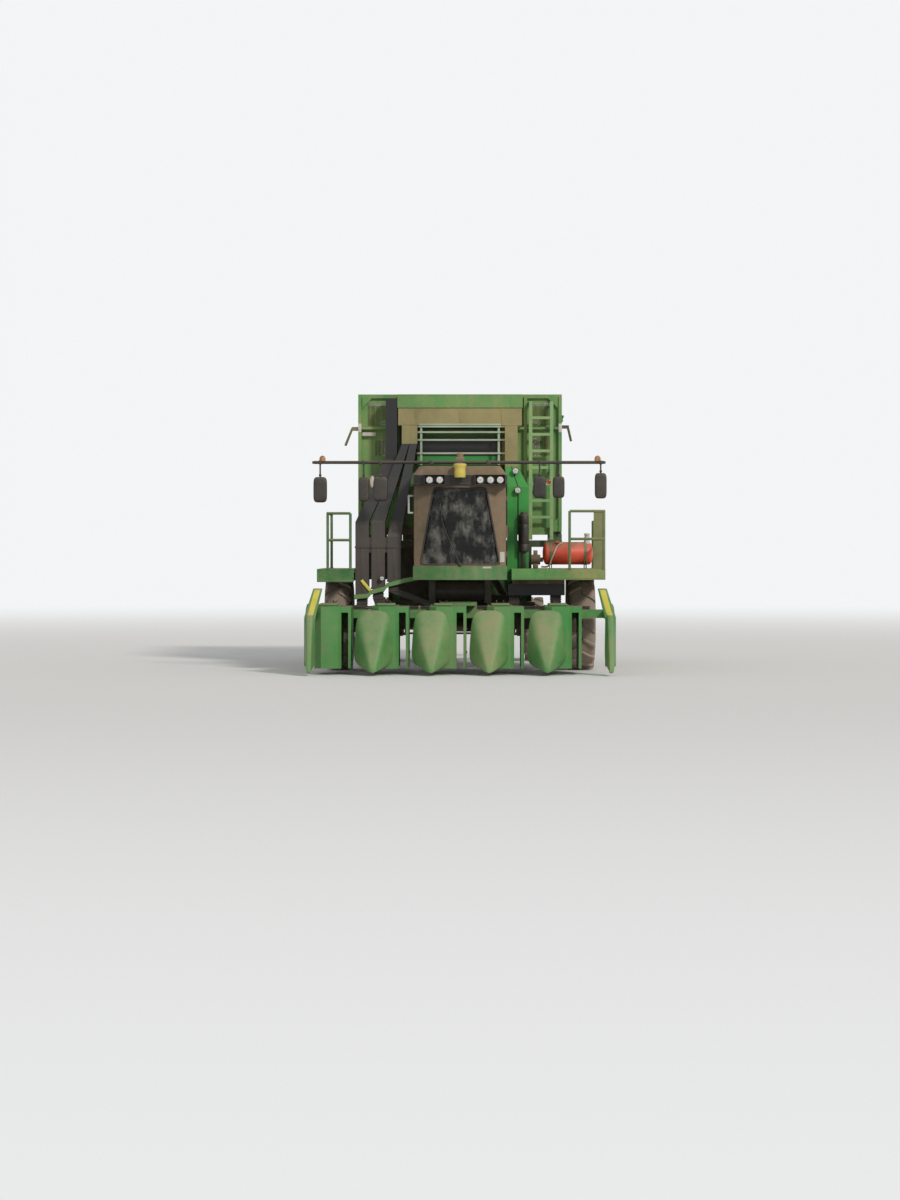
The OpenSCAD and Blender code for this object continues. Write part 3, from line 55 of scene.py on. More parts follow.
def feed(tree, node, sockets):
    """Fills a node's inputs: an output is linked, and anything else is set as the value."""
    for key, value in sockets.items():
        if isinstance(value, bpy.types.NodeSocket):
            tree.links.new(value, node.inputs[key])
        else:
            node.inputs[key].default_value = value


def get(tree, kind, sockets=None, socket=0, **settings):
    """One output of a new shader node. settings are its own properties, and sockets its inputs."""
    made = tree.nodes.new("ShaderNode" + kind)
    for key, value in settings.items():
        setattr(made, key, value)
    feed(tree, made, sockets or {})
    return made.outputs[socket]


def calc(tree, operation, *values):
    return get(tree, "Math", dict(enumerate(values)), operation=operation)


def sums(tree, terms, start):
    """start plus each output times its weight, one multiply-add after another."""
    for output, weight in terms:
        start = calc(tree, "MULTIPLY_ADD", output, weight, start)
    return start


def blended(tree, factor, first, second, **settings):
    """The colour that goes from first to second as factor goes from 0 to 1."""
    return get(tree, "Mix", {0: factor, 6: first, 7: second}, 2, data_type="RGBA", **settings)


def noise(tree, where, scale, detail=4.0, roughness=0.6):
    return get(tree, "TexNoise", {"Vector": where, "Scale": scale, "Detail": detail, "Roughness": roughness})


def stretched(tree, where, *scale):
    return get(tree, "Mapping", {"Vector": where, "Scale": scale})


def ramp(tree, value, low, high, at_low=0.0, at_high=1.0, **settings):
    """A straight rise from at_low, where value is low, to at_high, where it is high."""
    return get(tree, "MapRange", {0: value, 1: low, 2: high, 3: at_low, 4: at_high}, **settings)


def step(tree, value, low, high):
    """0 where value is under low, 1 where it is over high, and a smooth rise between."""
    return ramp(tree, value, low, high, interpolation_type="SMOOTHSTEP")


def axis_of(tree, where, n):
    return get(tree, "SeparateXYZ", {0: where}, n)


def new_material(name):
    """A material, its node tree and its shader."""
    mat = bpy.data.materials.new(name)
    mat.use_nodes = True
    return mat, mat.node_tree, mat.node_tree.nodes["Principled BSDF"]


def dusty(name, paint, cover, dust=DUST, rough=0.42, metal=0.0, up=0.55, streaks=0.5, edge=0.35,
          grain=0.25, low=0.25, others=(), clean=None, relief=None):
    """A painted skin under field dust. The dust's share is cover, plus broad clouds and small patches of noise,
    plus runs drawn out down the walls, plus a share on faces that look up and on the machine's lower half.
    The paint drifts in tone, and worn edges, found where a rounded normal leaves the flat one, show what is under it.
    others are more paints, each with the function that says where it is. clean says where little dust lies, and
    relief adds a height of its own."""
    mat, tree, shader = new_material(name)
    place = tree.nodes.new("ShaderNodeTexCoord").outputs
    where, facing = place["Object"], place["Normal"]
    clouds = noise(tree, where, 0.9, 5.0)
    patches = noise(tree, where, 7.0, 6.0, 0.68)
    grit = noise(tree, where, 130.0, 2.0)
    runs = noise(tree, stretched(tree, where, 9.0, 9.0, 0.55), 1.0, 5.0, 0.7)
    height, lift = axis_of(tree, where, 2), axis_of(tree, facing, 2)
    flat = ramp(tree, lift, 0.2, 0.9)
    lower = ramp(tree, height, 2.6, 0.3)
    terms = [(clouds, 0.95), (patches, 0.55), (grit, 0.35), (runs, streaks), (flat, up), (lower, low)]
    if clean:
        terms.append((clean(tree, where), -0.7))
    share = sums(tree, terms, cover - 0.925 - streaks * 0.5)
    mask = step(tree, share, -0.2, 1.05)
    tone = ramp(tree, patches, 0.25, 0.75, 0.72, 1.25)
    if others:
        for other, place_of in others:
            paint = blended(tree, place_of(tree, where), paint, other)
        shade = ramp(tree, clouds, 0.25, 0.75, 0.62, 1.3)
        body = blended(tree, 1.0, paint, shade, blend_type="MULTIPLY")
    else:
        dark, light = [tuple(min(1.0, k * c) for c in paint[:3]) + (1,) for k in (0.62, 1.35)]
        body = blended(tree, clouds, dark, light)
    soil = blended(tree, tone, *[tuple(k * c for c in dust[:3]) + (1,) for k in (0.6, 1.12)])
    colour = blended(tree, mask, body, soil)
    if edge:
        flat_normal = get(tree, "NewGeometry", socket="Normal")
        soft = get(tree, "Bevel", {"Radius": 0.012}, samples=4)
        along = get(tree, "VectorMath", {0: flat_normal, 1: soft}, "Value", operation="DOT_PRODUCT")
        bend = ramp(tree, along, 0.99, 0.86)
        chip = ramp(tree, patches, 0.47, 0.6, 0.0, edge)
        colour = blended(tree, calc(tree, "MULTIPLY", bend, chip), colour, (0.1, 0.075, 0.055, 1))
    sheen = sums(tree, [(mask, 0.88 - rough), (patches, 0.14)], rough - 0.07)
    terms = [(grit, 0.25), (mask, 0.5), (clouds, 0.6)]
    if relief:
        terms.append((relief(tree, where), 1.6))
    bump = get(tree, "Bump", {"Height": sums(tree, terms, 0.0), "Strength": grain, "Distance": 0.006})
    feed(tree, shader, {"Base Color": colour, "Roughness": sheen, "Metallic": metal, "Coat Weight": 0.0,
                        "Coat Roughness": 0.2, "Normal": bump})
    return mat


def dress(material, *nodes):
    """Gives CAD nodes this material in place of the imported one."""
    for node in nodes:
        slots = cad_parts[node].data.materials
        slots.clear()
        slots.append(material)


def xyz(x, y, z):
    """Points from three numbers or arrays, stretched to fit one another."""
    return np.stack(np.broadcast_arrays(x, y, z), -1)


def circle(count, across=1.0, rise=None):
    """A circle's points as two arrays, cosine and sine. A power under 1 presses it towards a square."""
    a = 2 * np.pi * np.arange(count) / count
    return [np.sign(v) * np.abs(v) ** power for v, power in ((np.cos(a), across), (np.sin(a), rise or across))]


def skin(rings, wrap=False):
    """Quads between each ring of points and the next, round each ring. The two end rings are closed by one face
    each, or joined to each other where wrap is true. rings is an array of rings, points and x, y, z."""
    k, m = rings.shape[:2]
    i, j = np.arange(k if wrap else k - 1)[:, None], np.arange(m)[None, :]
    n, p = (j + 1) % m, (i + 1) % k
    quads = np.stack([i * m + j, i * m + n, p * m + n, p * m + j], -1).reshape(-1, 4).tolist()
    ends = [] if wrap else [list(range(m))[::-1], list(range((k - 1) * m, k * m))]
    return rings.reshape(-1, 3), quads + ends


def unit(rows):
    return rows / np.linalg.norm(rows, axis=-1)[..., None]


def turned(profile, centre, axis, sides=32, wrap=False):
    """A turned form: each profile point is a radius and a distance along the axis, swept once round it."""
    profile = np.asarray(profile, float)
    axis = unit(np.asarray(axis, float))
    one = unit(np.cross(axis, np.eye(3)[np.argmin(np.abs(axis))]))
    c, s = circle(sides)
    return skin(np.asarray(centre, float) + profile[:, 1, None, None] * axis
                + profile[:, 0, None, None] * (c[:, None] * one + s[:, None] * np.cross(axis, one)), wrap)


def moved(shells, *places):
    """Copies of shells, shifted to each place in turn."""
    return [(v + np.asarray(p), f) for p in places for v, f in shells]


def bolts(places, axis, r=0.014, tall=0.01):
    """Hexagon heads with a turned-off top, one at each place, standing along the axis."""
    return moved([turned([[r, 0], [r, 0.75 * tall], [0.8 * r, tall]], (0, 0, 0), axis, 6)], *places)


def piece(name, shells, material, body="machine", crease=35):
    """One object from closed shells of points and faces. Faces are turned to point outwards, and edges sharper than
    crease degrees stay sharp. A piece that bends between two bodies is given no body."""
    start, points, faces = 0, [], []
    for verts, polys in shells:
        points.append(verts)
        faces += [[v + start for v in poly] for poly in polys]
        start += len(verts)
    mesh = bpy.data.meshes.new(name)
    mesh.from_pydata(np.concatenate(points).tolist(), [], faces)
    work = bmesh.new()
    work.from_mesh(mesh)
    bmesh.ops.recalc_face_normals(work, faces=work.faces)
    work.to_mesh(mesh)
    work.free()
    mesh.polygons.foreach_set("use_smooth", np.ones(len(mesh.polygons), bool))
    mesh.set_sharp_from_angle(angle=np.radians(crease))
    mesh.materials.append(material)
    made = bpy.data.objects.new(name, mesh)
    bpy.context.scene.collection.objects.link(made)
    if body:
        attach(made, body)
    return made


# The frame's green and its dust are painted far darker than the real spray and dust: painted shade under the machine.
shaded_frame_green = dusty("shaded_frame_green", (0.02, 0.105, 0.03, 1), 0.3, dust=(0.135, 0.105, 0.075, 1), low=0.45)
dress(shaded_frame_green, "chassis", "basket_stand", "front_axle", "rear_axle")
frame_bolts = []
for s in (1, -1):
    frame_bolts += bolts([(s * 0.611, y, z) for y in (2.61, 2.79, 3.66, 3.74) for z in (1.03, 1.15)], (s, 0, 0),
                         0.016, 0.012)
frame_bolts += bolts([(x, 4.23, z) for x in (-1.2, -0.55, -0.2, 0.2, 0.9, 1.2) for z in (1.0, 1.12)], (0, 1, 0))
piece("frame_bolts", frame_bolts, shaded_frame_green)

# Steering gear: forged knuckles on kingpins, tied together by a rod behind the axle.
# Bare cast steel that has gone dark with oil and dust, with a cap over each kingpin.

cast_steel = dusty("cast_steel", (0.055, 0.052, 0.05, 1), 0.45, rough=0.55, metal=0.6, edge=0.0)
dress(cast_steel, "knuckle_left", "knuckle_right", "tie_rod", "engine")
for side, s in (("left", 1), ("right", -1)):
    cap = turned([[0.046, 0], [0.046, 0.012], [0.034, 0.02], [0.012, 0.022]], (s * 1.15, 2.7, 0.776), UP, 20)
    piece("kingpin_cap_" + side, [cap], cast_steel, "knuckle_" + side)

# Tyres: bias-ply drive tyres, black rubber moulded with slanting bars, grey-brown with soil.
# A rounded carcass carries the bars, which taper to their tops and run down over the shoulders.

rubber = dusty("rubber", (0.022, 0.02, 0.018, 1), 0.66, dust=(0.235, 0.185, 0.145, 1), rough=0.75,
               edge=0.0, streaks=0.0, up=0.1, low=0.5, grain=0.5)
dress(rubber, "tyre_front_left", "tyre_front_right", "tyre_rear_left", "tyre_rear_right")
BAR_H = 0.038
WHEELS = [("front_left", (2.18, -1.5, 0.86)), ("front_right", (-2.18, -1.5, 0.86)),
          ("rear_left", (1.45, 2.7, 0.62)), ("rear_right", (-1.45, 2.7, 0.62))]


def carcass(radius, bead, width):
    """The tyre's section as radius and place across: from one bead out over the wall, the tread and back, then
    closed inside. The wall bulges to half the width, and two low ribs run round it."""
    tread = radius - BAR_H
    wall = [[bead + 0.004, 0.37], [bead + 0.012, 0.41], [bead + 0.034, 0.44], [bead + 0.042, 0.448],
            [bead + 0.056, 0.452], [bead + (tread - bead) * 0.4, 0.492], [bead + (tread - bead) * 0.52, 0.5],
            [bead + (tread - bead) * 0.56, 0.5], [bead + (tread - bead) * 0.64, 0.493], [tread - 0.075, 0.478],
            [tread - 0.045, 0.456], [tread - 0.018, 0.42], [tread - 0.004, 0.37], [tread, 0.27],
            [tread + 0.002, 0.12]]
    wall = np.array(wall) * (1, width)
    return np.concatenate([wall, wall[::-1] * (1, -1)])


def tread_bar(radius, width, side, turn):
    """One bar: a six-sided section carried from the tread's middle out over the shoulder, sliding round the wheel
    by 0.3 of the width on the way. It is given by radius, angle and place across, then wrapped round the axle."""
    t = np.array([0, 0.04, 0.25, 0.5, 0.75, 0.93, 1.0])
    across = side * (0.008 + t * (0.47 * width - 0.008))
    slide = 0.3 * width * t - 0.004
    foot = radius - BAR_H - 0.012 - np.array([0, 0, 0, 0, 0.004, 0.022, 0.05])
    top = radius - np.array([0.01, 0.001, 0.001, 0.001, 0.002, 0.006, 0.016])
    half = 0.03 + 0.006 * t
    s = np.stack([slide - half - 0.006, slide - half + 0.002, slide - half + 0.01,
                  slide + half - 0.01, slide + half - 0.002, slide + half + 0.006], 1)
    edge = 0.35 * foot + 0.65 * top
    lift = np.stack([foot, edge, top, top, edge, foot], 1)
    a = np.radians(turn) + s / (radius - BAR_H)
    return skin(xyz(across[:, None], lift * np.sin(a), -lift * np.cos(a)))


for wheel, centre in WHEELS:
    radius, bead, width, bars = (0.86, 0.482, 0.5, 18) if "front" in wheel else (0.62, 0.33, 0.38, 16)
    shells = [turned(carcass(radius, bead, width), (0, 0, 0), LEFT, 96, wrap=True)]
    shells += [tread_bar(radius, width, side, (i + (0.5 if side > 0 else 0)) * 360 / bars)
               for i in range(bars) for side in (-1, 1)]
    tyre = piece("lugged_tyre_" + wheel, moved(shells, centre), rubber, "wheel_" + wheel, crease=38)
    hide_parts("tyre_" + wheel)

# Rims: pressed steel discs welded into rolled rims, sprayed yellow and bolted to the hubs.
# Wheel nuts stand on domed washers round each hub, and a cover with its own bolts closes it.

rim_yellow = dusty("rim_yellow", (0.76, 0.5, 0.03, 1), 0.12, low=0.2)
dress(rim_yellow, "rim_front_left", "rim_front_right", "rim_rear_left", "rim_rear_right")
for wheel, centre in WHEELS:
    ring, count, hub_ring, hub_face = (0.183, 10, 0.125, 0.031) if "front" in wheel else (0.124, 8, 0.07, 0.03)
    side = np.sign(centre[0])
    out = (side, 0, 0)
    c, s = circle(count)
    spots = centre + xyz(side * -0.042, ring * c, ring * s)
    shells = moved([turned([[0.026, -0.001], [0.026, 0.003], [0.021, 0.006]], (0, 0, 0), out, 14)], *spots)
    shells += bolts(spots + (side * 0.005, 0, 0), out, 0.018, 0.02)
    a = 2 * np.pi * (np.arange(8) + 0.5) / 8
    shells += bolts(centre + xyz(side * hub_face, hub_ring * np.cos(a), hub_ring * np.sin(a)), out, 0.01, 0.008)
    cover = [[hub_ring - 0.02, -0.001], [hub_ring - 0.02, 0.006], [0.5 * hub_ring, 0.016], [0.012, 0.019]]
    shells.append(turned(cover, np.array(centre) + (side * hub_face, 0, 0), out, 28))
    piece("nuts_" + wheel, shells, rim_yellow, "wheel_" + wheel)

# Cylinders: black barrels and chromed rods, pinned at both ends.
# A gland nut closes each barrel, and a port block on it takes the hose.

barrel_black = dusty("barrel_black", (0.02, 0.02, 0.02, 1), 0.33, rough=0.45)
chrome = dusty("chrome", (0.62, 0.62, 0.6, 1), 0.12, rough=0.16, metal=1.0, edge=0.0, grain=0.05)
dress(barrel_black, "lift_barrels", "tip_barrels")
dress(chrome, "lift_rods", "tip_rods")


def glands(kind, feet, towards, length, r, rod_r):
    """A collar at the open end of each barrel, with the rod's hole left free, and one port block near each end."""
    towards = unit(np.asarray(towards, float))
    out = AHEAD if abs(towards[1]) < 0.5 else UP
    bore = rod_r + 0.004
    collar = [[r + 0.004, -0.05], [r + 0.004, -0.004], [r - 0.004, 0.004], [bore, 0.004], [bore, -0.05]]
    shells = []
    for foot in feet:
        shells.append(turned(collar, np.asarray(foot) + towards * length, towards, 28, wrap=True))
        for at in (0.1, length - 0.09):
            shells.append(turned([[0.016, r - 0.006], [0.016, r + 0.016], [0.011, r + 0.02]],
                                 np.asarray(foot) + towards * at, out, 10))
    piece(kind + "_glands", shells, barrel_black, kind + "_barrels")


glands("lift", [(s * 0.33, -1.94, 0.54) for s in (-1, 1)], (0, -0.98961, 0.14384), 0.566, 0.05, 0.028)
glands("tip", [(0.9, -1.0, 1.16), (0.9, 3.55, 1.16)], (-0.4886, 0, 0.8725), 1.303, 0.07, 0.042)

# Engine covers: folded sheet on a light frame, with louvres on the left and a round air screen on the right.
# Pressed hoods stand over the louvre slots, and the doors hang on lift-off hinges with turn latches.
# Rubber pads and a bulb seal lie on the frame where the basket comes down, and a strip hangs under the plenum.

BLACK = (0.01, 0.01, 0.01, 1)


def inside(tree, where, **sides):
    """1 within a box given by x, y or z, each a low and a high side, and 0 outside it, with an edge of 5 mm."""
    total = None
    for key, (low, high) in sides.items():
        at = axis_of(tree, where, "xyz".index(key))
        in_range = calc(tree, "MULTIPLY", step(tree, at, low - 0.005, low), step(tree, at, high + 0.005, high))
        total = in_range if total is None else calc(tree, "MULTIPLY", total, in_range)
    return total


def zone(colour, **sides):
    """Another paint for dusty, with the box that it covers."""
    return colour, lambda tree, where: inside(tree, where, **sides)


def rounded(steps):
    """The four corners of a rounded rectangle, one quarter turn after another: each point's signs across and up,
    which say what corner it is in, and its cosine and sine."""
    turn = (np.arange(4)[:, None] * np.pi / 2 + np.linspace(0, np.pi / 2, steps)).ravel()
    return np.repeat([1, -1, -1, 1], steps), np.repeat([1, 1, -1, -1], steps), np.cos(turn), np.sin(turn)


def slab(x, y, z, r=0.004, arc=3):
    """A box with rounded edges: rings of a rounded rectangle, drawn in by r(1 - sin a) at the height r(1 - cos a)
    from each end as a goes from 0 to a quarter turn."""
    r = min(r, 0.49 * min(x[1] - x[0], y[1] - y[0], z[1] - z[0]))
    a = np.linspace(0, np.pi / 2, arc)
    reach = r * np.sin(np.concatenate([a, a[::-1]]))[:, None]
    level = np.concatenate([z[0] + r * (1 - np.cos(a)), z[1] - r * (1 - np.cos(a[::-1]))])
    right, back, c, s = rounded(arc)
    return skin(xyz(right * ((x[1] - x[0]) / 2 - r) + (x[0] + x[1]) / 2 + reach * c,
                    back * ((y[1] - y[0]) / 2 - r) + (y[0] + y[1]) / 2 + reach * s, level[:, None]))


def slabs(boxes, r=0.004, arc=3):
    return [slab(x, y, z, r, arc) for x, y, z in boxes]


def around(middle, half):
    """The two sides of a slab from its middle and half its size."""
    return middle - half, middle + half


def swept(path, side, rise, r, sides, wrap=False):
    """Circles of radius r round the points of a path, each in the plane of that point's two directions."""
    c, s = circle(sides)
    return skin(path[:, None] + r * (c[:, None] * side[:, None] + s[:, None] * rise[:, None]), wrap)


def tube(path, r, sides=12):
    """A round bar or hose: circles of radius r, square to the path. r may change along it. The first of the two
    directions square to the path leans on the axis that the path runs along least."""
    path = np.asarray(path, float)
    ahead = unit(np.gradient(path, axis=0))
    side = unit(np.cross(ahead, np.eye(3)[np.argmin(np.abs(ahead).max(axis=0))]))
    return swept(path, side, np.cross(side, ahead), np.broadcast_to(r, len(path))[:, None, None], sides)


# The black box on the right half of the engine cover's front and the near-black box under the cab's base are painted
# shade.
cover_green = dusty("cover_green", GREEN, 0.1, up=0.8, others=(
    zone(BLACK, x=(-1.2, -0.5), y=(-0.7, -0.564), z=(1, 2.3)),
    zone((0.024, 0.17, 0.034, 1), y=(-4, -1.5), z=(1.637, 3)),
    zone((0.035, 0.036, 0.033, 1), x=(-0.62, 0.62), y=(-2.3, -1.6), z=(1.0, 1.637))))
dress(cover_green, "engine_cover", "cab_base")
MID_Y, MID_Z = 0.63, 1.715


def louvre(z):
    """A pressed hood: a quarter of an oval, 26 mm deep and 30 mm tall, with its inner side 3 mm behind it. It is
    carried along y and shrunk to 0.15 at both ends."""
    a = np.linspace(0, np.pi / 2, 7)
    a = np.concatenate([a, a[::-1]])
    deep, tall = np.repeat([0.026, 0.023], 7), np.repeat([0.03, 0.027], 7)
    grow = np.array([0.15, 1, 1, 0.15])[:, None]
    along = MID_Y + np.array([-0.53, -0.515, 0.515, 0.53])[:, None]
    return skin(xyz(1.118 + (0.001 + deep * np.sin(a)) * grow, along, z + (0.004 + tall * np.cos(a)) * grow))


louvres = [louvre(MID_Z - 0.3 + i * 0.09) for i in range(7)]
doors = [slab((1.119, 1.124), (y0, y1), (1.3, 2.13), 0.002) for y0, y1 in ((-0.53, 0.02), (1.25, 1.79))]
fixed_at = (1.45, 1.98)
latches = [turned([[0.03, 0], [0.03, 0.006], [0.022, 0.01]], (1.124, y, z), LEFT, 20)
           for y in (-0.03, 1.3) for z in fixed_at]
latches += [slab((1.131, 1.139), around(y, 0.006), around(z, 0.022), 0.003) for y in (-0.03, 1.3) for z in fixed_at]
hinges = [turned([[0.01, -0.045], [0.01, 0.045]], (1.128, y, z), UP, 12) for y in (-0.53, 1.79) for z in fixed_at]
piece("cover_louvres", louvres + doors, cover_green)
piece("cover_latches", latches + hinges, barrel_black)
pad_rubber = dusty("pad_rubber", BLACK, 0.35, rough=0.75, edge=0.0, streaks=0.6)


def bulb_seal():
    """An oval section, 24 mm deep and 36 mm tall, carried straight across the engine cover's front edge."""
    c, s = circle(16)
    return skin(xyz(np.linspace(-1.115, 1.115, 24)[:, None], -0.59 + 0.012 * c, 2.222 + 0.018 * s))


pads = [bulb_seal()]
pads += [slab((x0, x0 + 0.205), (-1.215, -1.085), (2.3405, 2.4945), 0.008) for x0 in (-1.26, -1.045, -0.83)]
pads.append(slab((0.93, 1.86), (-2.532, -2.524), (1.561, 1.6395), 0.002))
piece("rest_pads", pads, pad_rubber)
screen_dark = dusty("screen_dark", (0.03, 0.03, 0.028, 1), 0.4, rough=0.6, metal=0.5, edge=0.0)


def mesh_wires(u, v, place, pitch, slope, r, frame_round=None):
    """Expanded metal: flat-topped wires v = c + slope u and v = c - slope u at an even pitch, each cut where it
    leaves the window, so that they cross in long diamonds. place turns u, v into x, y, z. frame_round is a round
    window's middle m, n and radius R, and a wire in it is the chord where (u - m)^2 + (c + slope u - n)^2 = R^2."""
    shells = []
    for s in (slope, -slope):
        low = min(v[0] - s * u[0], v[0] - s * u[1])
        high = max(v[1] - s * u[0], v[1] - s * u[1])
        for c in np.arange(low + pitch / 2, high, pitch):
            ends = sorted(((v[0] - c) / s, (v[1] - c) / s))
            a, b = max(ends[0], u[0]), min(ends[1], u[1])
            if frame_round:
                m, n, radius = frame_round
                qa, qb, qc = 1 + s * s, 2 * (s * (c - n) - m), m * m + (c - n) ** 2 - radius ** 2
                root = qb * qb - 4 * qa * qc
                if root <= 0:
                    continue
                a, b = (-qb - root ** 0.5) / (2 * qa), (-qb + root ** 0.5) / (2 * qa)
            if b - a > 0.004:
                shells.append(tube([place(a, c + s * a), place(b, c + s * b)], r, 4))
    return shells


ring = [[0.415, -0.006], [0.415, 0.008], [0.405, 0.014], [0.385, 0.014], [0.38, 0.006], [0.38, -0.006]]
ring = turned(ring, (-1.12, MID_Y, MID_Z), (-1, 0, 0), 64, wrap=True)
piece("air_screen_ring", [ring], cover_green)
piece("air_screen_mesh", mesh_wires(around(MID_Y, 0.4), around(MID_Z, 0.4), lambda u, v: (-1.1095, u, v),
                                    0.026, 0.6, 0.0016, (MID_Y, MID_Z, 0.399)), screen_dark)

# Tanks: two blow-moulded tanks of black plastic, side by side over the rear axle.
# Upright ribs are moulded into their walls, and each is held down by two steel straps and closed by a cap.

tank_black = dusty("tank_black", (0.022, 0.022, 0.022, 1), 0.06, rough=0.5, edge=0.0, streaks=0.3, low=0.1)


def moulded_tank(x, y, z):
    """Rounded boxes stacked in one ring set: the section swells a little at mid height, and its walls carry
    shallow ribs, a wave of the place round the section."""
    level = np.array([0, 0.01, 0.035, 0.07, 0.12, 0.3, 0.5, 0.7, 0.88, 0.93, 0.965, 0.99, 1.0])[:, None]
    draw = np.array([0.9, 0.95, 0.98, 0.992, 0.996, 1.0, 1.0, 1.0, 0.996, 0.992, 0.98, 0.95, 0.9])[:, None]
    ribbed = np.array([0, 0, 0, 0, 1, 1, 1, 1, 1, 0, 0, 0, 0])[:, None]
    draw = draw * (1 - 0.01 * ribbed * (np.cos(22 * 2 * np.pi * np.arange(128) / 128) > 0.35))
    c, s = circle(128, 0.16)
    return skin(xyz((x[0] + x[1]) / 2 + c * (x[1] - x[0]) / 2 * draw,
                    (y[0] + y[1]) / 2 + s * (y[1] - y[0]) / 2 * draw, z[0] + level * (z[1] - z[0])))


tanks, straps, caps = [], [], []
for s, x0, x1 in ((1, 0.03, 0.88), (-1, -0.88, -0.03)):
    tanks.append(moulded_tank((x0, x1), (2.06, 3.44), (1.2203, 2.19)))
    caps.append(turned([[0.07, -0.01], [0.07, 0.012], [0.062, 0.02], [0.02, 0.02]],
                       ((x0 + x1) / 2 + s * 0.2, 2.2, 2.188), UP, 28))
    wall = (x1 - 0.0005, x1 + 0.003) if s > 0 else (x0 - 0.003, x0 + 0.0005)
    for y in (2.42, 3.08):
        straps += slabs([((x0 - 0.001, x1 + 0.001), around(y, 0.02), (2.1905, 2.1945)),
                         (wall, around(y, 0.02), (1.23, 2.194))], 0.001)
tank_piece = piece("moulded_tanks", tanks, tank_black, crease=50)
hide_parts("tanks")
piece("tank_straps", straps, chrome)
piece("tank_caps", caps, barrel_black)

# Ducts: sheet-metal air ducts, a brown bank on the right and a green one on the left.
# Each has a flanged foot with bolts, and a pleated rubber boot joins it to the suction duct below.
# A bent flat bar runs along the bank's foot on three brackets, with a reflector strip above it.

# The black above 2.67 m on the right bank and under the left bank is painted shade. The left bank's green is its
# paint, painted brighter as painted light. clean keeps dust off this painted light and shade.
duct_brown = dusty("duct_brown", (0.026, 0.023, 0.021, 1), 0.42, dust=(0.078, 0.064, 0.053, 1), rough=0.5,
                   others=(zone(BLACK, x=(-9, 0), z=(2.67, 9)),
                           zone((0.035, 0.285, 0.045, 1), x=(0.3, 9), z=(1.6, 9)),
                           zone(BLACK, x=(0.3, 9), z=(0, 1.58))),
                   clean=lambda tree, where: sums(tree, [(step(tree, axis_of(tree, where, 0), 0.1, 0.3), 1.0)],
                                                  step(tree, axis_of(tree, where, 2), 2.62, 2.74)))
dress(duct_brown, "duct_banks")
collars = []
for x, z in ((-1.86, 1.34), (-1.575, 1.47), (-1.29, 1.6)):
    collars += bolts([(x + 0.02 + 0.04 * k, -2.512, level) for level in (z + 0.015, 2.215) for k in range(6)],
                     AHEAD, 0.009, 0.007)
    collars.append(slab((x + 0.1, x + 0.14), (-2.504, -2.499), (z + 0.06, 2.18), 0.002))
piece("duct_bolts", collars, duct_brown)
foot_green = dusty("foot_green", GREEN, 0.16, up=0.5)


def bent_bar(y0, y1, tall):
    """A rectangular section carried along a bent line of x and z, which rises towards the machine's middle."""
    x = np.array([-1.88, -1.64, -1.585, -1.345, -1.3, -1.04, -0.98, -0.62])[:, None]
    z = np.array([1.285, 1.305, 1.37, 1.43, 1.495, 1.56, 1.58, 1.64])[:, None]
    return skin(xyz(x, np.array([y0, y1, y1, y0]), z + np.array([0, 0, tall, tall])))


flat_bar = [bent_bar(-2.57, -2.562, 0.085), bent_bar(-2.57, -2.53, 0.008)]
flat_bar += [slab((x0, x0 + 0.03), (-2.566, -2.511), (z0, z0 + 0.04), 0.002)
             for x0, z0 in ((-1.83, 1.325), (-1.47, 1.44), (-1.2, 1.56))]
flat_bar.append(slab((-0.66, -0.615), (-2.566, -2.3), (1.642, 1.69), 0.003))
piece("duct_foot_rail", flat_bar, foot_green)
c, s = np.cos(np.radians(40)), np.sin(np.radians(40))
strip, faces = slab((-0.026, 0.026), (-2.519, -2.515), (-0.13, 0.13), 0.001)
strip = strip @ np.array([[c, 0, s], [0, 1, 0], [-s, 0, c]]) + (-1.668, 0, 1.53)
mark_yellow = dusty("mark_yellow", (0.82, 0.66, 0.06, 1), 0.02, rough=0.3, edge=0.0)
piece("duct_reflector", [(strip, faces)], mark_yellow)
boot_rubber = dusty("boot_rubber", (0.014, 0.014, 0.014, 1), 0.14, dust=(0.08, 0.062, 0.046, 1), rough=0.7, edge=0.0,
                    streaks=0.1, up=0.15)
LOW_Y, HIGH_Y = -2.47, -2.43


def boot(x, low, high):
    """A bellows: rounded rectangles from the lower mouth to the upper, moving back as they rise, and swelling and
    drawing in by 7 mm in turn."""
    t = np.linspace(0, 1, 17)[:, None]
    fold = 0.007 * np.cos(t * 8 * np.pi)
    c, s = circle(40, 0.3)
    return skin(xyz(x + c * (0.096 * (1 - t) + 0.1 * t + fold),
                    LOW_Y * (1 - t) + HIGH_Y * t + s * (0.066 * (1 - t) + 0.06 * t + fold),
                    low - 0.03 + t * (high - low + 0.034)))


for n, (x, low, high) in enumerate([(-1.74, 1.2, 1.34), (-1.455, 1.33, 1.47), (-1.17, 1.46, 1.6),
                                    (0.96, 1.24, 1.36), (1.7, 1.24, 1.36)]):
    made = piece(f"duct_boot_{n + 1}", [boot(x, low, high)], boot_rubber, None, crease=60)
    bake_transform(made)
dress(boot_rubber, "suction_ducts")

# Hood over the ducts' tops: a long sheet-metal box bolted to the basket's front, with two legs.
# A green strip runs along its top, and the panels under it have gone khaki with dust.

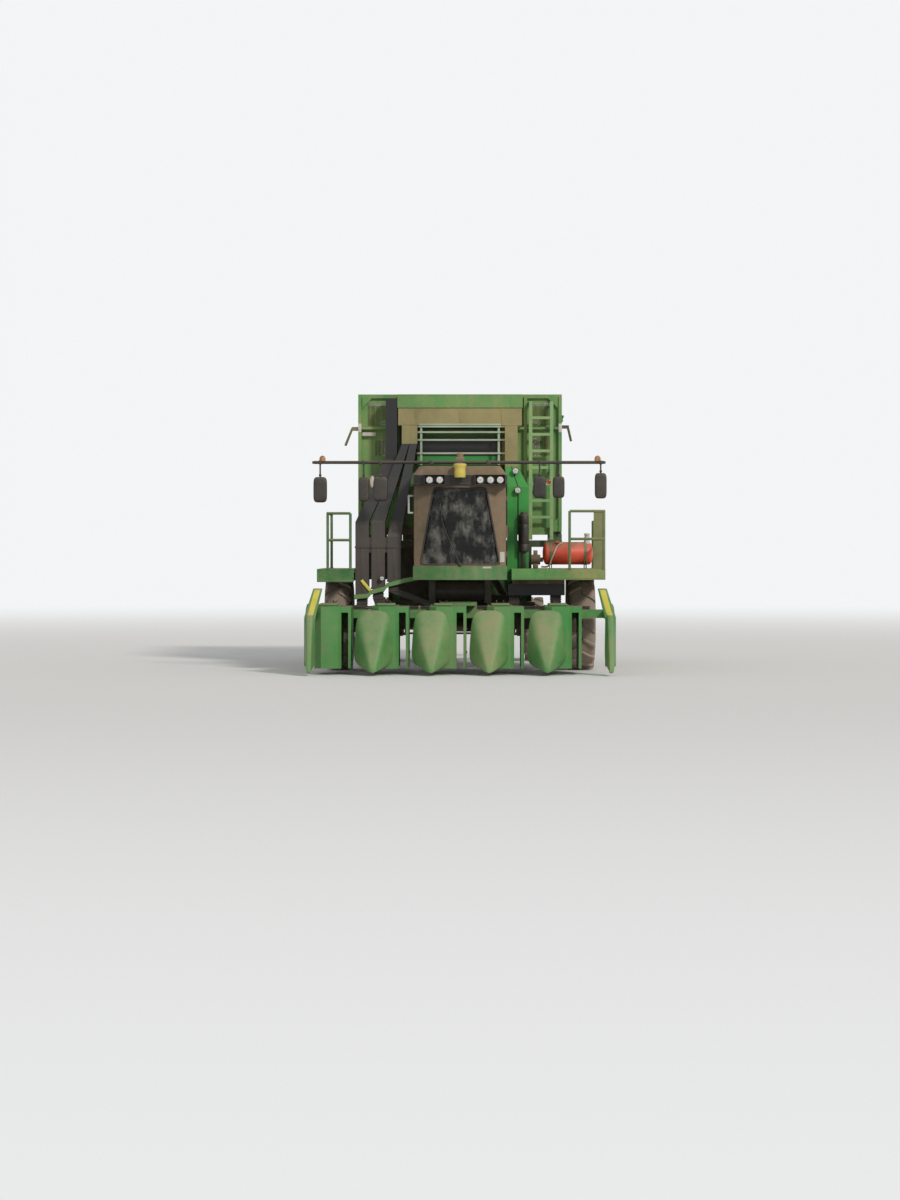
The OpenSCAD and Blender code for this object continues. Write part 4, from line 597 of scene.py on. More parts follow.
KHAKI = (0.3, 0.25, 0.105, 1)
# The black box behind the front rails is painted shade in the opening there, and clean keeps dust off it and off the
# rails.
hood_green = dusty("hood_green", (0.05, 0.27, 0.06, 1), 0.28, dust=KHAKI, streaks=0.7,
                   others=(zone((0.25, 0.215, 0.09, 1), z=(0, 4.728)),
                           zone((0.36, 0.44, 0.3, 1), x=(-0.745, 0.735), z=(3.7, 4.44)),
                           zone(BLACK, x=(-0.77, 0.76), y=(-1.655, -1.0), z=(3.86, 4.43)),
                           zone(GREEN, x=(-0.77, 0.76), y=(-1.655, -1.0), z=(3.0, 3.86))),
                   clean=lambda tree, where: inside(tree, where, x=(-0.77, 0.76), z=(3.7, 4.44)))
dress(hood_green, "duct_hood")
strip = bolts([(x, -1.72, z) for z in (4.955, 4.745) for x in np.linspace(-1.08, 1.08, 17)], AHEAD, 0.01, 0.007)
strip.append(slab((-1.1, 1.1), (-1.706, -1.699), (4.415, 4.437), 0.003))
strip += [slab((x - 0.36, x - 0.352), (-1.704, -1.699), (4.45, 4.72), 0.002) for x in (-0.42, 0.38, 1.1)]
piece("hood_trim", strip, hood_green)

# Cab: pillars welded from pressed sheet, a moulded roof, and a glazed door on the left.
# Rubber seals frame the glass, a lip runs round under the roof, and one wiper parks on the windscreen.

pale_panel = {"x": (-1.2, -0.835), "z": (2.7, 3.25)}
# brow is the recess over the roof lamps. Its black is painted shade, and clean keeps dust off it and off the pale
# panel.
brow = {"y": (-9, -3.0), "z": (3.3, 3.475)}
pillar_tan = dusty("pillar_tan", (0.05, 0.042, 0.028, 1), 0.62, dust=(0.195, 0.138, 0.082, 1), rough=0.5,
                   others=(zone(BLACK, **brow), zone((0.45, 0.46, 0.44, 1), **pale_panel)),
                   clean=lambda tree, where: sums(tree, [(inside(tree, where, **pale_panel), 1.0)],
                                                  inside(tree, where, **brow)))
dress(pillar_tan, "cab_shell", "cab_roof", "cab_door")
NOSE = 1.5


def smooth(points, steps=8):
    """A curve through the points: on each span a cubic whose slopes are half the step from neighbour to neighbour."""
    p = np.asarray(points, float)
    slope = np.gradient(p, axis=0)
    t = np.linspace(0, 1, steps, endpoint=False)[None, :, None]
    h = (2 * t ** 3 - 3 * t ** 2 + 1) * p[:-1, None] + (t ** 3 - 2 * t ** 2 + t) * slope[:-1, None]
    h = h + (3 * t ** 2 - 2 * t ** 3) * p[1:, None] + (t ** 3 - t ** 2) * slope[1:, None]
    return np.concatenate([h.reshape(-1, 3), p[-1:]])


def front_y(x, out=0.0):
    """How far back the curved front is at x: a circle of 1.5 m about the cab's middle, out metres outside it."""
    return -3.15 + NOSE - np.sqrt((NOSE + out) ** 2 - np.asarray(x) ** 2)


def round_path(corners, r, steps=7, between=6):
    """A closed outline with its corners rounded: a parabola from r before each corner to r after it."""
    c = np.asarray(corners, float)
    a, b = c + r * unit(np.roll(c, 1, 0) - c), c + r * unit(np.roll(c, -1, 0) - c)
    t = np.linspace(0, 1, steps)[None, :, None]
    arcs = ((1 - t) ** 2 * a[:, None] + 2 * t * (1 - t) * c[:, None] + t ** 2 * b[:, None]).reshape(-1, 2)
    t = np.linspace(0, 1, between, endpoint=False)[None, :, None]
    return (arcs[:, None] * (1 - t) + np.roll(arcs, -1, 0)[:, None] * t).reshape(-1, 2)


def box_path(x0, x1, y0, y1, r):
    return round_path([(x0, y0), (x1, y0), (x1, y1), (x0, y1)], r).T


def seal_loop(path, r, squash=0.6):
    """A rubber section carried round a closed path: circles flattened off the face. One direction is the axis
    that the loop is thinnest along, and the other is square to it."""
    ahead = np.roll(path, -1, 0) - np.roll(path, 1, 0)
    keep = np.linalg.norm(ahead, axis=1) > 1e-6
    path, ahead = path[keep], unit(ahead[keep])
    side = unit(np.cross(ahead, np.eye(3)[np.argmin(np.ptp(path, axis=0))]))
    return swept(path, side, squash * np.cross(side, ahead), r, 8, wrap=True)


seal_black = dusty("seal_black", (0.016, 0.016, 0.016, 1), 0.12, dust=(0.12, 0.085, 0.055, 1), rough=0.6, edge=0.0,
                   streaks=0.1)
x, z = round_path([(-0.7, 1.91), (0.7, 1.91), (0.46, 3.26), (-0.46, 3.26)], 0.1).T
windscreen = seal_loop(xyz(x, front_y(x, 0.002), z), 0.015)
y, z = box_path(-2.74, -1.9, 2.0, 3.21, 0.06)
piece("windscreen_seal", [windscreen, seal_loop(xyz(-0.811, y, z), 0.016)], seal_black, crease=60)
y, z = box_path(-2.73, -1.95, 2.0, 3.18, 0.06)
piece("door_seal", [seal_loop(xyz(0.811, y, z), 0.016)], seal_black, "cab_door", crease=60)
x, y = box_path(-0.83, 0.83, -3.17, -1.58, 0.16)
piece("roof_lip", [seal_loop(xyz(x, y, 3.318), 0.012, 1.0)], seal_black, crease=60)
arm_x, blade_x = np.linspace(0.0, -0.3, 12), np.linspace(-0.26, -0.345, 12)
wiper = [turned([[0.03, -0.004], [0.03, 0.018], [0.018, 0.03]], (0.0, front_y(0.0), 1.905), AHEAD, 20),
         tube(xyz(arm_x, front_y(arm_x, 0.04), np.linspace(1.905, 2.62, 12)), np.linspace(0.01, 0.006, 12), 8),
         tube(xyz(blade_x, front_y(blade_x, 0.02), np.linspace(2.26, 2.99, 12)), 0.008, 6),
         tube(xyz(arm_x[-2:], front_y(arm_x[-2:], 0.024), np.array([2.6, 2.63])), 0.007, 6)]
piece("wiper", wiper, seal_black)
handle = [tube(smooth([(0.815, -2.72, 2.42), (0.85, -2.72, 2.43), (0.855, -2.72, 2.5), (0.85, -2.72, 2.57),
                       (0.815, -2.72, 2.58)], 5), 0.011, 10),
          slab((0.809, 0.816), (-2.75, -2.69), (2.4, 2.6), 0.003)]
piece("door_handle", handle, seal_black, "cab_door")
base_bolts = bolts([(x, front_y(x, 0.021), 1.67) for x in np.linspace(-0.66, 0.66, 9)], AHEAD, 0.009, 0.006)
piece("cab_base_bolts", base_bolts, cover_green)


def see_through(name, tint, rough, clear_share, ior, film_of):
    """Clear material under a film of dust. film_of adds the nodes that say how much film there is, what colour it
    has, and what the clear part's normal is, if it isn't flat."""
    mat, tree, clear = new_material(name)
    feed(tree, clear, {"Base Color": tint, "Roughness": rough, "Transmission Weight": clear_share, "IOR": ior})
    where = get(tree, "TexCoord", socket="Object")
    share, colour = film_of(tree, clear, where)
    dull = get(tree, "BsdfDiffuse", {"Color": colour})
    both = get(tree, "MixShader", {0: share, 1: clear.outputs[0], 2: dull})
    tree.links.new(both, tree.nodes["Material Output"].inputs["Surface"])
    return mat


def road_film(tree, clear, where):
    """Clouds of dust, and smears drawn out downwards."""
    clouds = noise(tree, where, 3.6, 6.0, 0.62)
    smears = noise(tree, stretched(tree, where, 7.0, 7.0, 2.2), 1.6)
    share = sums(tree, [(clouds, 4.4), (smears, 3.4)], 0.22 - 3.95)
    tone = blended(tree, clouds, (0.02, 0.022, 0.022, 1), (0.26, 0.255, 0.225, 1))
    return ramp(tree, share, 0.0, 1.0, 0.06, 0.75), tone


cab_tint = see_through("cab_tint", (0.13, 0.15, 0.15, 1), 0.06, 1.0, 1.3, road_film)
dress(cab_tint, "cab_glass", "door_glass")

# Driver's seat and controls: a sprung seat on a pedestal, its cushions foam under woven cloth.
# The console, wheel and side panel are black moulded plastic.

console_black = dusty("console_black", (0.028, 0.028, 0.03, 1), 0.12, rough=0.55, edge=0.0, low=0.0)
dress(console_black, "seat", "steering_console")


def weave(tree, where):
    """Height of a plain weave: two crossing waves 4 mm apart, broken up by fine noise."""
    threads = {"Vector": where, "Scale": 80.0, "Distortion": 0.6, "Detail": 1.0}
    return calc(tree, "MULTIPLY", *[get(tree, "TexWave", threads, "Fac", bands_direction=way) for way in "XZ"])


seat_cloth = dusty("seat_cloth", (0.055, 0.056, 0.06, 1), 0.1, rough=0.85, edge=0.0, low=0.0, grain=0.45,
                   relief=weave)


def points_of(mesh):
    """A mesh's points as an array."""
    flat = np.empty(len(mesh.vertices) * 3)
    mesh.vertices.foreach_get("co", flat)
    return flat.reshape(-1, 3)


def tilted(points, degrees, y, z):
    """Points turned about a line across the machine at y and z, tops going back."""
    c, s = np.cos(np.radians(degrees)), np.sin(np.radians(degrees))
    dy, dz = points[:, 1] - y, points[:, 2] - z
    return xyz(points[:, 0], y + c * dy + s * dz, z - s * dy + c * dz)


def cushion(name, x, y, z, degrees, cap=0.014):
    """A foam pad: a rounded box, remeshed, blown up by cloth pressure with its base held, no point moving further
    than cap, then tilted about the seat's hinge."""
    pad = piece(name, [slab(x, y, z, 0.035, 5)], seat_cloth)
    remesh = pad.modifiers.new("remesh", "REMESH")
    remesh.mode, remesh.voxel_size = "VOXEL", 0.008
    bpy.context.view_layer.update()
    fine = bpy.data.meshes.new_from_object(pad.evaluated_get(bpy.context.evaluated_depsgraph_get()))
    pad.modifiers.clear()
    pad.data = fine
    start = points_of(fine)
    held = pad.vertex_groups.new(name="held")
    base = start[:, 2] < z[0] + 0.012 if degrees == 0 else start[:, 1] > y[1] - 0.012
    held.add(np.nonzero(base)[0].tolist(), 1.0, "REPLACE")
    cloth = pad.modifiers.new("cloth", "CLOTH")
    cloth.settings.use_pressure = True
    cloth.settings.uniform_pressure_force = 4.0
    cloth.settings.effector_weights.gravity = 0.0
    cloth.settings.vertex_group_mass = "held"
    for step_no in range(1, 21):
        bpy.context.scene.frame_set(step_no)
    move = points_of(pad.evaluated_get(bpy.context.evaluated_depsgraph_get()).data) - start
    pad.modifiers.clear()
    bpy.context.scene.frame_set(1)
    far = np.linalg.norm(move, axis=1)[:, None]
    start += move * np.minimum(1.0, cap / np.maximum(far, 1e-9))
    fine.vertices.foreach_set("co", start.ravel())
    fine.polygons.foreach_set("use_smooth", np.ones(len(fine.polygons), bool))
    finer = pad.modifiers.new("finer", "SUBSURF")
    finer.levels = finer.render_levels = 1
    pad.data.vertices.foreach_set("co", tilted(points_of(pad.data), degrees, *HINGE).ravel())
    pad.data.update()


HINGE, BACK_TILT = (-1.95, 2.28), 8
cushion("seat_cushion", (-0.235, 0.235), (-2.36, -1.93), (2.225, 2.315), 0)
cushion("seat_back", (-0.22, 0.22), (-1.935, -1.855), (2.36, 2.87), BACK_TILT)
seat_shells = [slab((-0.18, 0.18), (-2.3, -1.94), (1.88, 1.93), 0.02),
               slab((-0.25, 0.25), (-2.37, -1.9), (2.185, 2.235), 0.02)]
for k in range(5):
    inset = 0.01 * (k % 2)
    seat_shells.append(slab((-0.15 + inset, 0.15 - inset), (-2.27 + inset, -1.97 - inset),
                            (1.925 + 0.052 * k, 1.98 + 0.052 * k), 0.018))
for s in (-1, 1):
    seat_shells.append(slab(around(s * 0.3, 0.035), (-2.3, -1.94), (2.44, 2.5), 0.022, 5))
    seat_shells.append(slab(around(s * 0.28, 0.022), (-1.985, -1.945), (2.21, 2.46), 0.01))
back, faces = slab((-0.23, 0.23), (-1.862, -1.842), (2.33, 2.885), 0.012)
seat_shells.append((tilted(back, BACK_TILT, *HINGE), faces))
seat_frame = piece("seat_frame", seat_shells, console_black)
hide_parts("seat")

# Lamps: round roof and work lamps in black housings, and red tail lamps on the bumper.
# Each has a bright bowl behind a clear domed glass, held by a bezel.

lamp_black = dusty("lamp_black", (0.018, 0.017, 0.016, 1), 0.1, dust=(0.12, 0.085, 0.055, 1), rough=0.45, edge=0.0,
                   streaks=0.1)
bowl_silver = dusty("bowl_silver", (0.75, 0.75, 0.73, 1), 0.02, rough=0.12, metal=1.0, edge=0.0, grain=0.02, low=0.0)


def clear_lens(name, tint, rough, dull_tint, film):
    """Moulded glass with fine upright flutes, and a little dust mixed in where noise is high. film is the dust's
    least and most share."""
    def patches_of(tree, clear, where):
        flutes = get(tree, "TexWave", {"Vector": where, "Scale": 26.0}, "Fac", bands_direction="X")
        feed(tree, clear, {"Normal": get(tree, "Bump", {"Height": flutes, "Strength": 0.35, "Distance": 0.003})})
        return ramp(tree, noise(tree, where, 9.0, 5.0), 0.42, 0.8, *film), dull_tint
    return see_through(name, tint, rough, 0.85, 1.4, patches_of)


lens_clear = clear_lens("lens_clear", (0.95, 0.95, 0.93, 1), 0.05, (0.85, 0.83, 0.78, 1), (0.45, 0.6))
lens_red = clear_lens("lens_red", (0.75, 0.03, 0.02, 1), 0.12, (0.26, 0.21, 0.14, 1), (0.02, 0.45))
lens_amber = clear_lens("lens_amber", (0.85, 0.33, 0.06, 1), 0.12, (0.36, 0.27, 0.18, 1), (0.3, 0.8))
faces = [(x, -3.1703, 3.392, 0.066, -1) for x in (-0.535, -0.355, 0.355, 0.535, 0.705)]
faces += [(1.0, -1.723, 3.59, 0.06, -1), (1.04, -1.7603, 3.24, 0.06, -1), (-1.385, -2.5003, 1.66, 0.042, -1)]
faces += [(s * 1.12, 4.14, 1.23, 0.06, 1) for s in (-1, 1)]
housings, bowls, glasses = [], [], {-1: [], 1: []}
for x, y, z, r, way in faces:
    # radii are shares of the lamp's own, and depths are metres
    housing = [[0.55, 0.0], [0.85, 0.012], [0.97, 0.045], [1, 0.068], [1, 0.083], [0.96, 0.087], [0.88, 0.084],
               [0.87, 0.07], [0.86, 0.062], [0.6, 0.02], [0.3, 0.01]]
    bowl = [[0.865, 0.07], [0.8, 0.052], [0.6, 0.034], [0.35, 0.024], [0.14, 0.022], [0.12, 0.04], [0.05, 0.046],
            [0.05, 0.018], [0.6, 0.018], [0.85, 0.058]]
    glass = [[0.868, 0.07], [0.868, 0.078], [0.6, 0.084], [0.2, 0.0865], [0.2, 0.083], [0.6, 0.0805], [0.84, 0.073]]
    for shells, profile, wrap in ((housings, housing, False), (bowls, bowl, True), (glasses[way], glass, False)):
        shells.append(turned(np.array(profile) * (r, 1), (x, y, z), (0, way, 0), 32, wrap))
lamp_feet = [slab(around(s * 1.12, 0.02), (4.17, 4.2), (1.1603, 1.19)) for s in (-1, 1)]
lamp_set = piece("lamp_housings", housings + lamp_feet, lamp_black)
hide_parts("lamps")
# The fan housing is dressed in the lamps' black. Part of this black is painted shade under the left deck.
dress(lamp_black, "fan_housing")
piece("lamp_bowls", bowls, bowl_silver)
piece("lamp_glass", glasses[-1], lens_clear)
piece("tail_glass", glasses[1], lens_red)

# Receiver and beacon base on the roof: a moulded yellow dome on a bracket, and a brown box behind it.
# The dome is two shells screwed together at a waist.

receiver_yellow = dusty("receiver_yellow", (0.66, 0.52, 0.075, 1), 0.26, rough=0.4, edge=0.0)
box_brown = dusty("box_brown", (0.06, 0.036, 0.02, 1), 0.45, rough=0.6)
ROOF_TOP = 3.6403
dome = turned([[0.06, 0.0], [0.092, 0.004], [0.099, 0.02], [0.1, 0.1], [0.096, 0.13], [0.098, 0.17],
               [0.11, 0.198], [0.115, 0.215], [0.114, 0.228], [0.104, 0.243], [0.08, 0.252], [0.045, 0.2575],
               [0.015, 0.2588]], (0, -3.29, 3.43), UP, 48)
dome_piece = piece("receiver_dome", [dome], receiver_yellow, crease=50)
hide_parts("beacon")
arm = slabs([(around(0, 0.05), (-3.25, -2.87), (ROOF_TOP, 3.668)),
             (around(0, 0.04), (-3.215, -3.18), (3.5, 3.66))], 0.006)
piece("receiver_arm", arm, lamp_black)
beacon_base = [slab((-0.075, 0.075), (-2.91, -2.77), (ROOF_TOP, 3.8), 0.014),
               turned([[0.06, 0], [0.06, 0.06], [0.05, 0.074], [0.015, 0.079]], (0, -2.84, 3.8), UP, 28)]
piece("beacon_base", beacon_base, box_brown)

# Mirror bar: one tube across the cab's roof, with six mirrors hung from it and a marker lamp near each end.
# Each mirror is a rounded black housing with its glass facing back to the driver.
# A small oval spot mirror and a round side lamp hang between them, and two blank plates are fixed to the cab.

mirror_glass, tree, shader = new_material("mirror_glass")
haze = noise(tree, get(tree, "TexCoord", socket="Object"), 14.0, 5.0)
feed(tree, shader, {
    "Base Color": blended(tree, step(tree, haze, 0.45, 0.75), (0.75, 0.76, 0.76, 1), (0.33, 0.28, 0.2, 1)),
    "Roughness": sums(tree, [(haze, 0.5)], -0.12), "Metallic": 1.0})
MIRROR_Y, BAR_Z = -2.98, 3.705
bar = [tube([(x, MIRROR_Y, BAR_Z) for x in (-2.6, -2.56, 0, 2.52, 2.56)], [0.02, 0.028, 0.028, 0.028, 0.02], 16)]
housings, mirrors = [], []


def mirror_part(x, w, z0, z1, depth, draw):
    """Rounded rectangles one behind another, circles pressed towards a square: each is the mirror's width and
    height times its draw, at its depth behind the bar."""
    c, s = circle(40, 0.45, 0.35)
    draw = np.array(draw)[:, None]
    return skin(xyz(x + c * draw * w / 2, MIRROR_Y + np.array(depth)[:, None],
                    (z0 + z1) / 2 + s * draw * (z1 - z0) / 2))


for x, w, z0, z1 in ((-2.46, 0.24, 3.0, 3.45), (-1.695, 0.19, 3.02, 3.45), (-1.4, 0.26, 3.02, 3.45),
                     (1.4, 0.22, 3.08, 3.46), (1.735, 0.21, 3.08, 3.46), (2.475, 0.21, 3.07, 3.52)):
    housings.append(mirror_part(x, w, z0, z1, [-0.04, -0.037, -0.028, -0.005, 0.014, 0.02, 0.02, 0.013],
                                [0.72, 0.86, 0.96, 1.0, 1.0, 0.985, 0.93, 0.92]))
    mirrors.append(mirror_part(x, w, z0, z1, [0.01, 0.015, 0.016], [0.915] * 3))
    bar += [tube([(x, MIRROR_Y, z1 - 0.03), (x, MIRROR_Y, BAR_Z)], 0.014, 12),
            slab(around(x, 0.03), around(MIRROR_Y, 0.036), around(BAR_Z, 0.034), 0.01),
            slab(around(x, 0.022), around(MIRROR_Y, 0.03), (z1 + 0.01, z1 + 0.05), 0.008)]
for x, z in ((-1.545, 3.46), (1.565, 3.39)):
    bar.append(tube([(x, MIRROR_Y, z), (x, MIRROR_Y, BAR_Z)], 0.008, 8))
for s in (-1, 1):
    bar.append(slab(around(s * 0.5, 0.04), around(MIRROR_Y, 0.04), (ROOF_TOP, 3.74), 0.01))
    bar += bolts([(s * 0.5 + dx, MIRROR_Y, 3.74) for dx in (-0.022, 0.022)], UP, 0.008, 0.006)
bar_piece = piece("mirror_rail", bar, lamp_black)
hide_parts("mirror_bar")
piece("mirror_housings", housings, lamp_black, crease=60)
piece("mirror_faces", mirrors, mirror_glass)
markers = [turned([[0.05, 0.0], [0.055, 0.012], [0.054, 0.05], [0.044, 0.078], [0.022, 0.094], [0.008, 0.098]],
                  (s * 2.42, MIRROR_Y, BAR_Z + 0.022), UP, 28) for s in (-1, 1)]
piece("marker_lamps", markers, lens_amber)
side_lamp = turned([[0.02, 0.03], [0.036, 0.022], [0.04, 0.0], [0.036, -0.02], [0.018, -0.032]],
                   (1.565, MIRROR_Y, 3.36), AHEAD, 24)
piece("side_lamp", [side_lamp], lens_red)


def spot_mirror():
    """Ovals 90 mm wide and 220 mm tall, one behind another, each drawn in by its share."""
    c, s = circle(32)
    size = np.array([0.55, 0.85, 1.0, 1.0, 0.9])[:, None]
    y = np.array([-0.026, -0.02, -0.006, 0.006, 0.01])[:, None]
    return skin(xyz(-1.545 + 0.045 * c * size, MIRROR_Y + y, 3.365 + 0.11 * s * size))


def cab_plate(x0, x1, z0, z1, out):
    """A thin sheet that follows the cab's curved front, from 0.4 to 3 mm outside it, and by out more."""
    thick = out + np.array([0.0004, 0.0004, 0.003, 0.003])
    x = np.linspace(x0, x1, 8)[:, None]
    return skin(xyz(x, front_y(x, thick), np.array([z0, z1, z1, z0])))


spot_pale = dusty("spot_pale", (0.5, 0.42, 0.38, 1), 0.2, rough=0.4, edge=0.0)
piece("spot_mirror", [spot_mirror()], spot_pale, crease=60)
plates = [cab_plate(0.705, 0.785, 1.95, 2.13, 0.0), cab_plate(0.4, 0.55, 1.842, 1.872, 0.02)]
plate_pale = dusty("plate_pale", (0.5, 0.54, 0.48, 1), 0.16, rough=0.4, edge=0.0)
piece("cab_plates", plates, plate_pale)

# Decks and handrails: chequer plate on folded edges beside the cab, with bent tube rails.
# Round flanges bolt the posts to the plate, and the steps of the ladder are punched for grip.


def chequer(tree, where):
    """Height of chequer plate: two sets of short waves, one turned a quarter turn, masked into a checker."""
    one, two = [get(tree, "TexWave", {"Vector": at, "Scale": 9.0, "Distortion": 0.0}, "Fac",
                    bands_direction="DIAGONAL") for at in (where, stretched(tree, where, 1.0, -1.0, 1.0))]
    pick = get(tree, "TexChecker", {"Vector": where, "Scale": 24.0}, "Fac")
    return step(tree, get(tree, "Mix", {0: pick, 2: one, 3: two}), 0.6, 0.8)


# The darker green on the right deck, the side away from the key light, is painted shade.
deck_green = dusty("deck_green", GREEN, 0.42, dust=KHAKI, up=0.8, relief=chequer, grain=0.5, streaks=0.3,
                   others=(zone((0.022, 0.15, 0.03, 1), x=(-4, 0)),),
                   clean=lambda tree, where: sums(tree, [(step(tree, axis_of(tree, where, 0), 1.2, 2.3), -0.7)], 0.6))
rail_green = dusty("rail_green", (0.022, 0.135, 0.032, 1), 0.22, streaks=0.2,
                   others=(zone((0.105, 0.15, 0.035, 1), x=(2.34, 2.532), y=(-9, -2.9)),))
dress(deck_green, "decks", "access_ladder")
dress(rail_green, "handrails")
DECK_TOP, DECK_END = 1.8303, 2.559
flanges = []
for x, y in ((1.93, -2.955), (2.535, -2.955), (2.535, -1.42), (-2.33, -2.955), (-1.93, -2.955), (-2.33, -1.42)):
    flanges.append(turned([[0.044, 0.0], [0.044, 0.006], [0.03, 0.01], [0.027, 0.022], [0.0235, 0.022],
                           [0.0235, 0.0]], (x, y, DECK_TOP), UP, 24, wrap=True))
    flanges += bolts([(x + 0.036 * np.cos(a), y + 0.036 * np.sin(a), 1.836) for a in (0.7, 2.2, 3.8, 5.4)], UP,
                     0.006, 0.005)
piece("rail_flanges", [(np.minimum(v, (DECK_END, 9, 9)), f) for v, f in flanges], rail_green)
edge = slabs([((0.93, 2.54), (-2.984, -2.976), (1.655, 1.668)),
              ((-2.5, -1.89), (-2.984, -2.976), (1.615, 1.628))], 0.003)
edge += bolts([(x, -2.979, 1.73) for x in (1.0, 1.5, 2.0, 2.45, -1.95, -2.2, -2.45)], AHEAD, 0.011, 0.008)
piece("deck_edges", edge, rail_green)

# Red tank on the left deck: a welded steel vessel with dished ends, strapped down on two saddles.
# A white filler stands on its outer end, and a grey pump with its motor is coupled to its inner end.

tank_red = dusty("tank_red", (0.7, 0.045, 0.022, 1), 0.0, rough=0.34, streaks=0.3, up=0.5)
pump_grey = dusty("pump_grey", (0.1, 0.085, 0.07, 1), 0.42, rough=0.5, metal=0.4)
plastic_white = dusty("plastic_white", (0.62, 0.61, 0.57, 1), 0.24, rough=0.4, edge=0.0)
TANK_Y, TANK_Z = -1.68, 2.105


def band(inner, outer, low, high, centre, axis, sides):
    """A plain ring of rectangular section, turned round the axis."""
    return turned([[inner, low], [outer, low], [outer, high], [inner, high]], centre, axis, sides, wrap=True)


dish = np.linspace(0, np.pi / 2, 9)
vessel = np.concatenate([np.stack([0.205 * np.sin(dish), 1.49 + 0.075 * (1 - np.cos(dish))], 1)[1:],
                         [[0.2045, 1.6], [0.2045, 1.93], [0.2052, 1.932], [0.2052, 1.944], [0.2045, 1.946]],
                         np.stack([0.205 * np.sin(dish[::-1]), 2.4 - 0.075 * (1 - np.cos(dish[::-1]))], 1)[:-1]])
red = [turned(vessel, (0, TANK_Y, TANK_Z), LEFT, 56),
       turned([[0.03, 0.19], [0.03, 0.225], [0.04, 0.228], [0.04, 0.245], [0.012, 0.25]],
              (1.75, TANK_Y, TANK_Z), (0, -0.5, 0.85), 20)]
red_piece = piece("red_vessel", red, tank_red, crease=50)
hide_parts("red_tank")


def saddle_plate(x):
    """An upright plate 6 mm thick: its lower edge lies on the deck, and its upper edge is an arc of 209 mm radius
    about the vessel's axis."""
    a = np.linspace(np.pi * 1.18, np.pi * 1.82, 15)
    y = 0.209 * np.cos(a) + TANK_Y
    z = np.concatenate([np.full(15, DECK_TOP), (0.209 * np.sin(a) + TANK_Z)[::-1]])
    return skin(xyz(np.array([[x], [x + 0.006]]), np.concatenate([y, y[::-1]]), z))


straps = []
for x in (1.61, 2.235):
    straps.append(band(0.203, 0.2095, 0.0, 0.05, (x, TANK_Y, TANK_Z), LEFT, 56))
    straps += [saddle_plate(x + 0.004), saddle_plate(x + 0.04)]
    straps += bolts([(x + 0.025, TANK_Y - 0.215, TANK_Z + 0.02)], AHEAD, 0.01, 0.018)
piece("tank_saddles", straps, rail_green)
filler = turned([[0.05, 0.1], [0.054, 0.16], [0.054, 0.28], [0.048, 0.3], [0.04, 0.305], [0.04, 0.318],
                 [0.052, 0.322], [0.052, 0.35], [0.044, 0.358], [0.012, 0.3595]], (2.29, -1.74, 2.105), UP, 32)
hose = tube(smooth([(1.84, -1.76, 2.295), (1.8, -1.83, 2.28), (1.735, -1.885, 2.215), (1.69, -1.907, 2.11),
                    (1.645, -1.9, 2.0), (1.615, -1.872, 1.905), (1.56, -1.8, 1.862), (1.47, -1.74, 1.862)]),
            0.016)
piece("tank_filler", [filler, hose], plastic_white)
PUMP = (0, -1.68, 1.99)
pump = [turned([[0.088, x], [0.095, x + 0.003], [0.095, x + 0.009], [0.088, x + 0.012]], PUMP, LEFT, 36, wrap=True)
        for x in np.linspace(1.285, 1.425, 8)]
pump += [turned([[0.055, 1.276], [0.08, 1.279], [0.088, 1.29], [0.088, 1.44], [0.08, 1.449], [0.046, 1.45],
                 [0.04, 1.456], [0.04, 1.5]], PUMP, LEFT, 36),
         slab((1.315, 1.41), (-1.74, -1.62), (DECK_TOP, 1.92), 0.01),
         slab((1.325, 1.4), (-1.735, -1.625), (2.06, 2.16), 0.014)]
piece("tank_pump", pump, pump_grey)

# Air cleaner: an upright canister beside the cab on a bracket, with a rain cap.
# Rolled beads stiffen its wall, and two band clamps hold it.

CAN = (1.15, -1.855, 0)
cleaner = [turned([[0.074, 2.13], [0.086, 2.136], [0.09, 2.15], [0.09, 2.26], [0.086, 2.268], [0.09, 2.276],
                   [0.09, 2.62], [0.086, 2.628], [0.09, 2.636], [0.09, 2.78], [0.084, 2.796], [0.062, 2.806],
                   [0.06, 2.812], [0.06, 2.836], [0.05, 2.846], [0.015, 2.85]], CAN, UP, 40),
           slab((1.12, 1.18), (-1.875, -1.835), (DECK_TOP, 2.14), 0.008)]
for z in (2.34, 2.54):
    cleaner.append(band(0.0885, 0.0925, z, z + 0.022, CAN, UP, 40))
    cleaner += bolts([(1.15, -1.947, z + 0.011)], AHEAD, 0.01, 0.016)
cleaner_piece = piece("air_canister", cleaner, lamp_black, crease=50)
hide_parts("air_cleaner")

# Header frame: a square toolbar on two lift arms, with a hanger for each row unit and a gear case in the middle.
# Steel tube and plate, sprayed green, with hoses clipped along the toolbar.

header_green = dusty("header_green", GREEN, 0.12, low=0.15)
dress(header_green, "header_frame")
ROWS = (-2.0, -1.0, 0.0, 1.0, 2.0)
hoses = []
for y, z in ((-2.6, 1.126), (-2.565, 1.126), (-2.583, 1.156)):
    run = [(x, y + 0.003 * (-1) ** k, z + 0.002) for k, x in enumerate(np.linspace(-2.0, 2.0, 11))]
    hoses.append(tube(smooth([(-2.3, y, z)] + run + [(2.3, y, z)], 6), 0.015, 10))
for x in [row + dx for row in ROWS for dx in (-0.36, -0.24)]:
    hoses.append(tube(smooth([(x, -2.6, 1.126), (x, -2.66, 1.215), (x, -2.76, 1.265), (x + 0.01, -2.86, 1.245),
                              (x + 0.01, -2.885, 1.19)], 7), 0.012, 10))
piece("header_hoses", hoses, boot_rubber, "header", crease=60)
clips = [slab(around(x, 0.02), (-2.625, -2.54), (1.1103, 1.178), 0.006)
         for x in (-2.15, -1.55, -0.72, 0.72, 1.55, 2.15)]
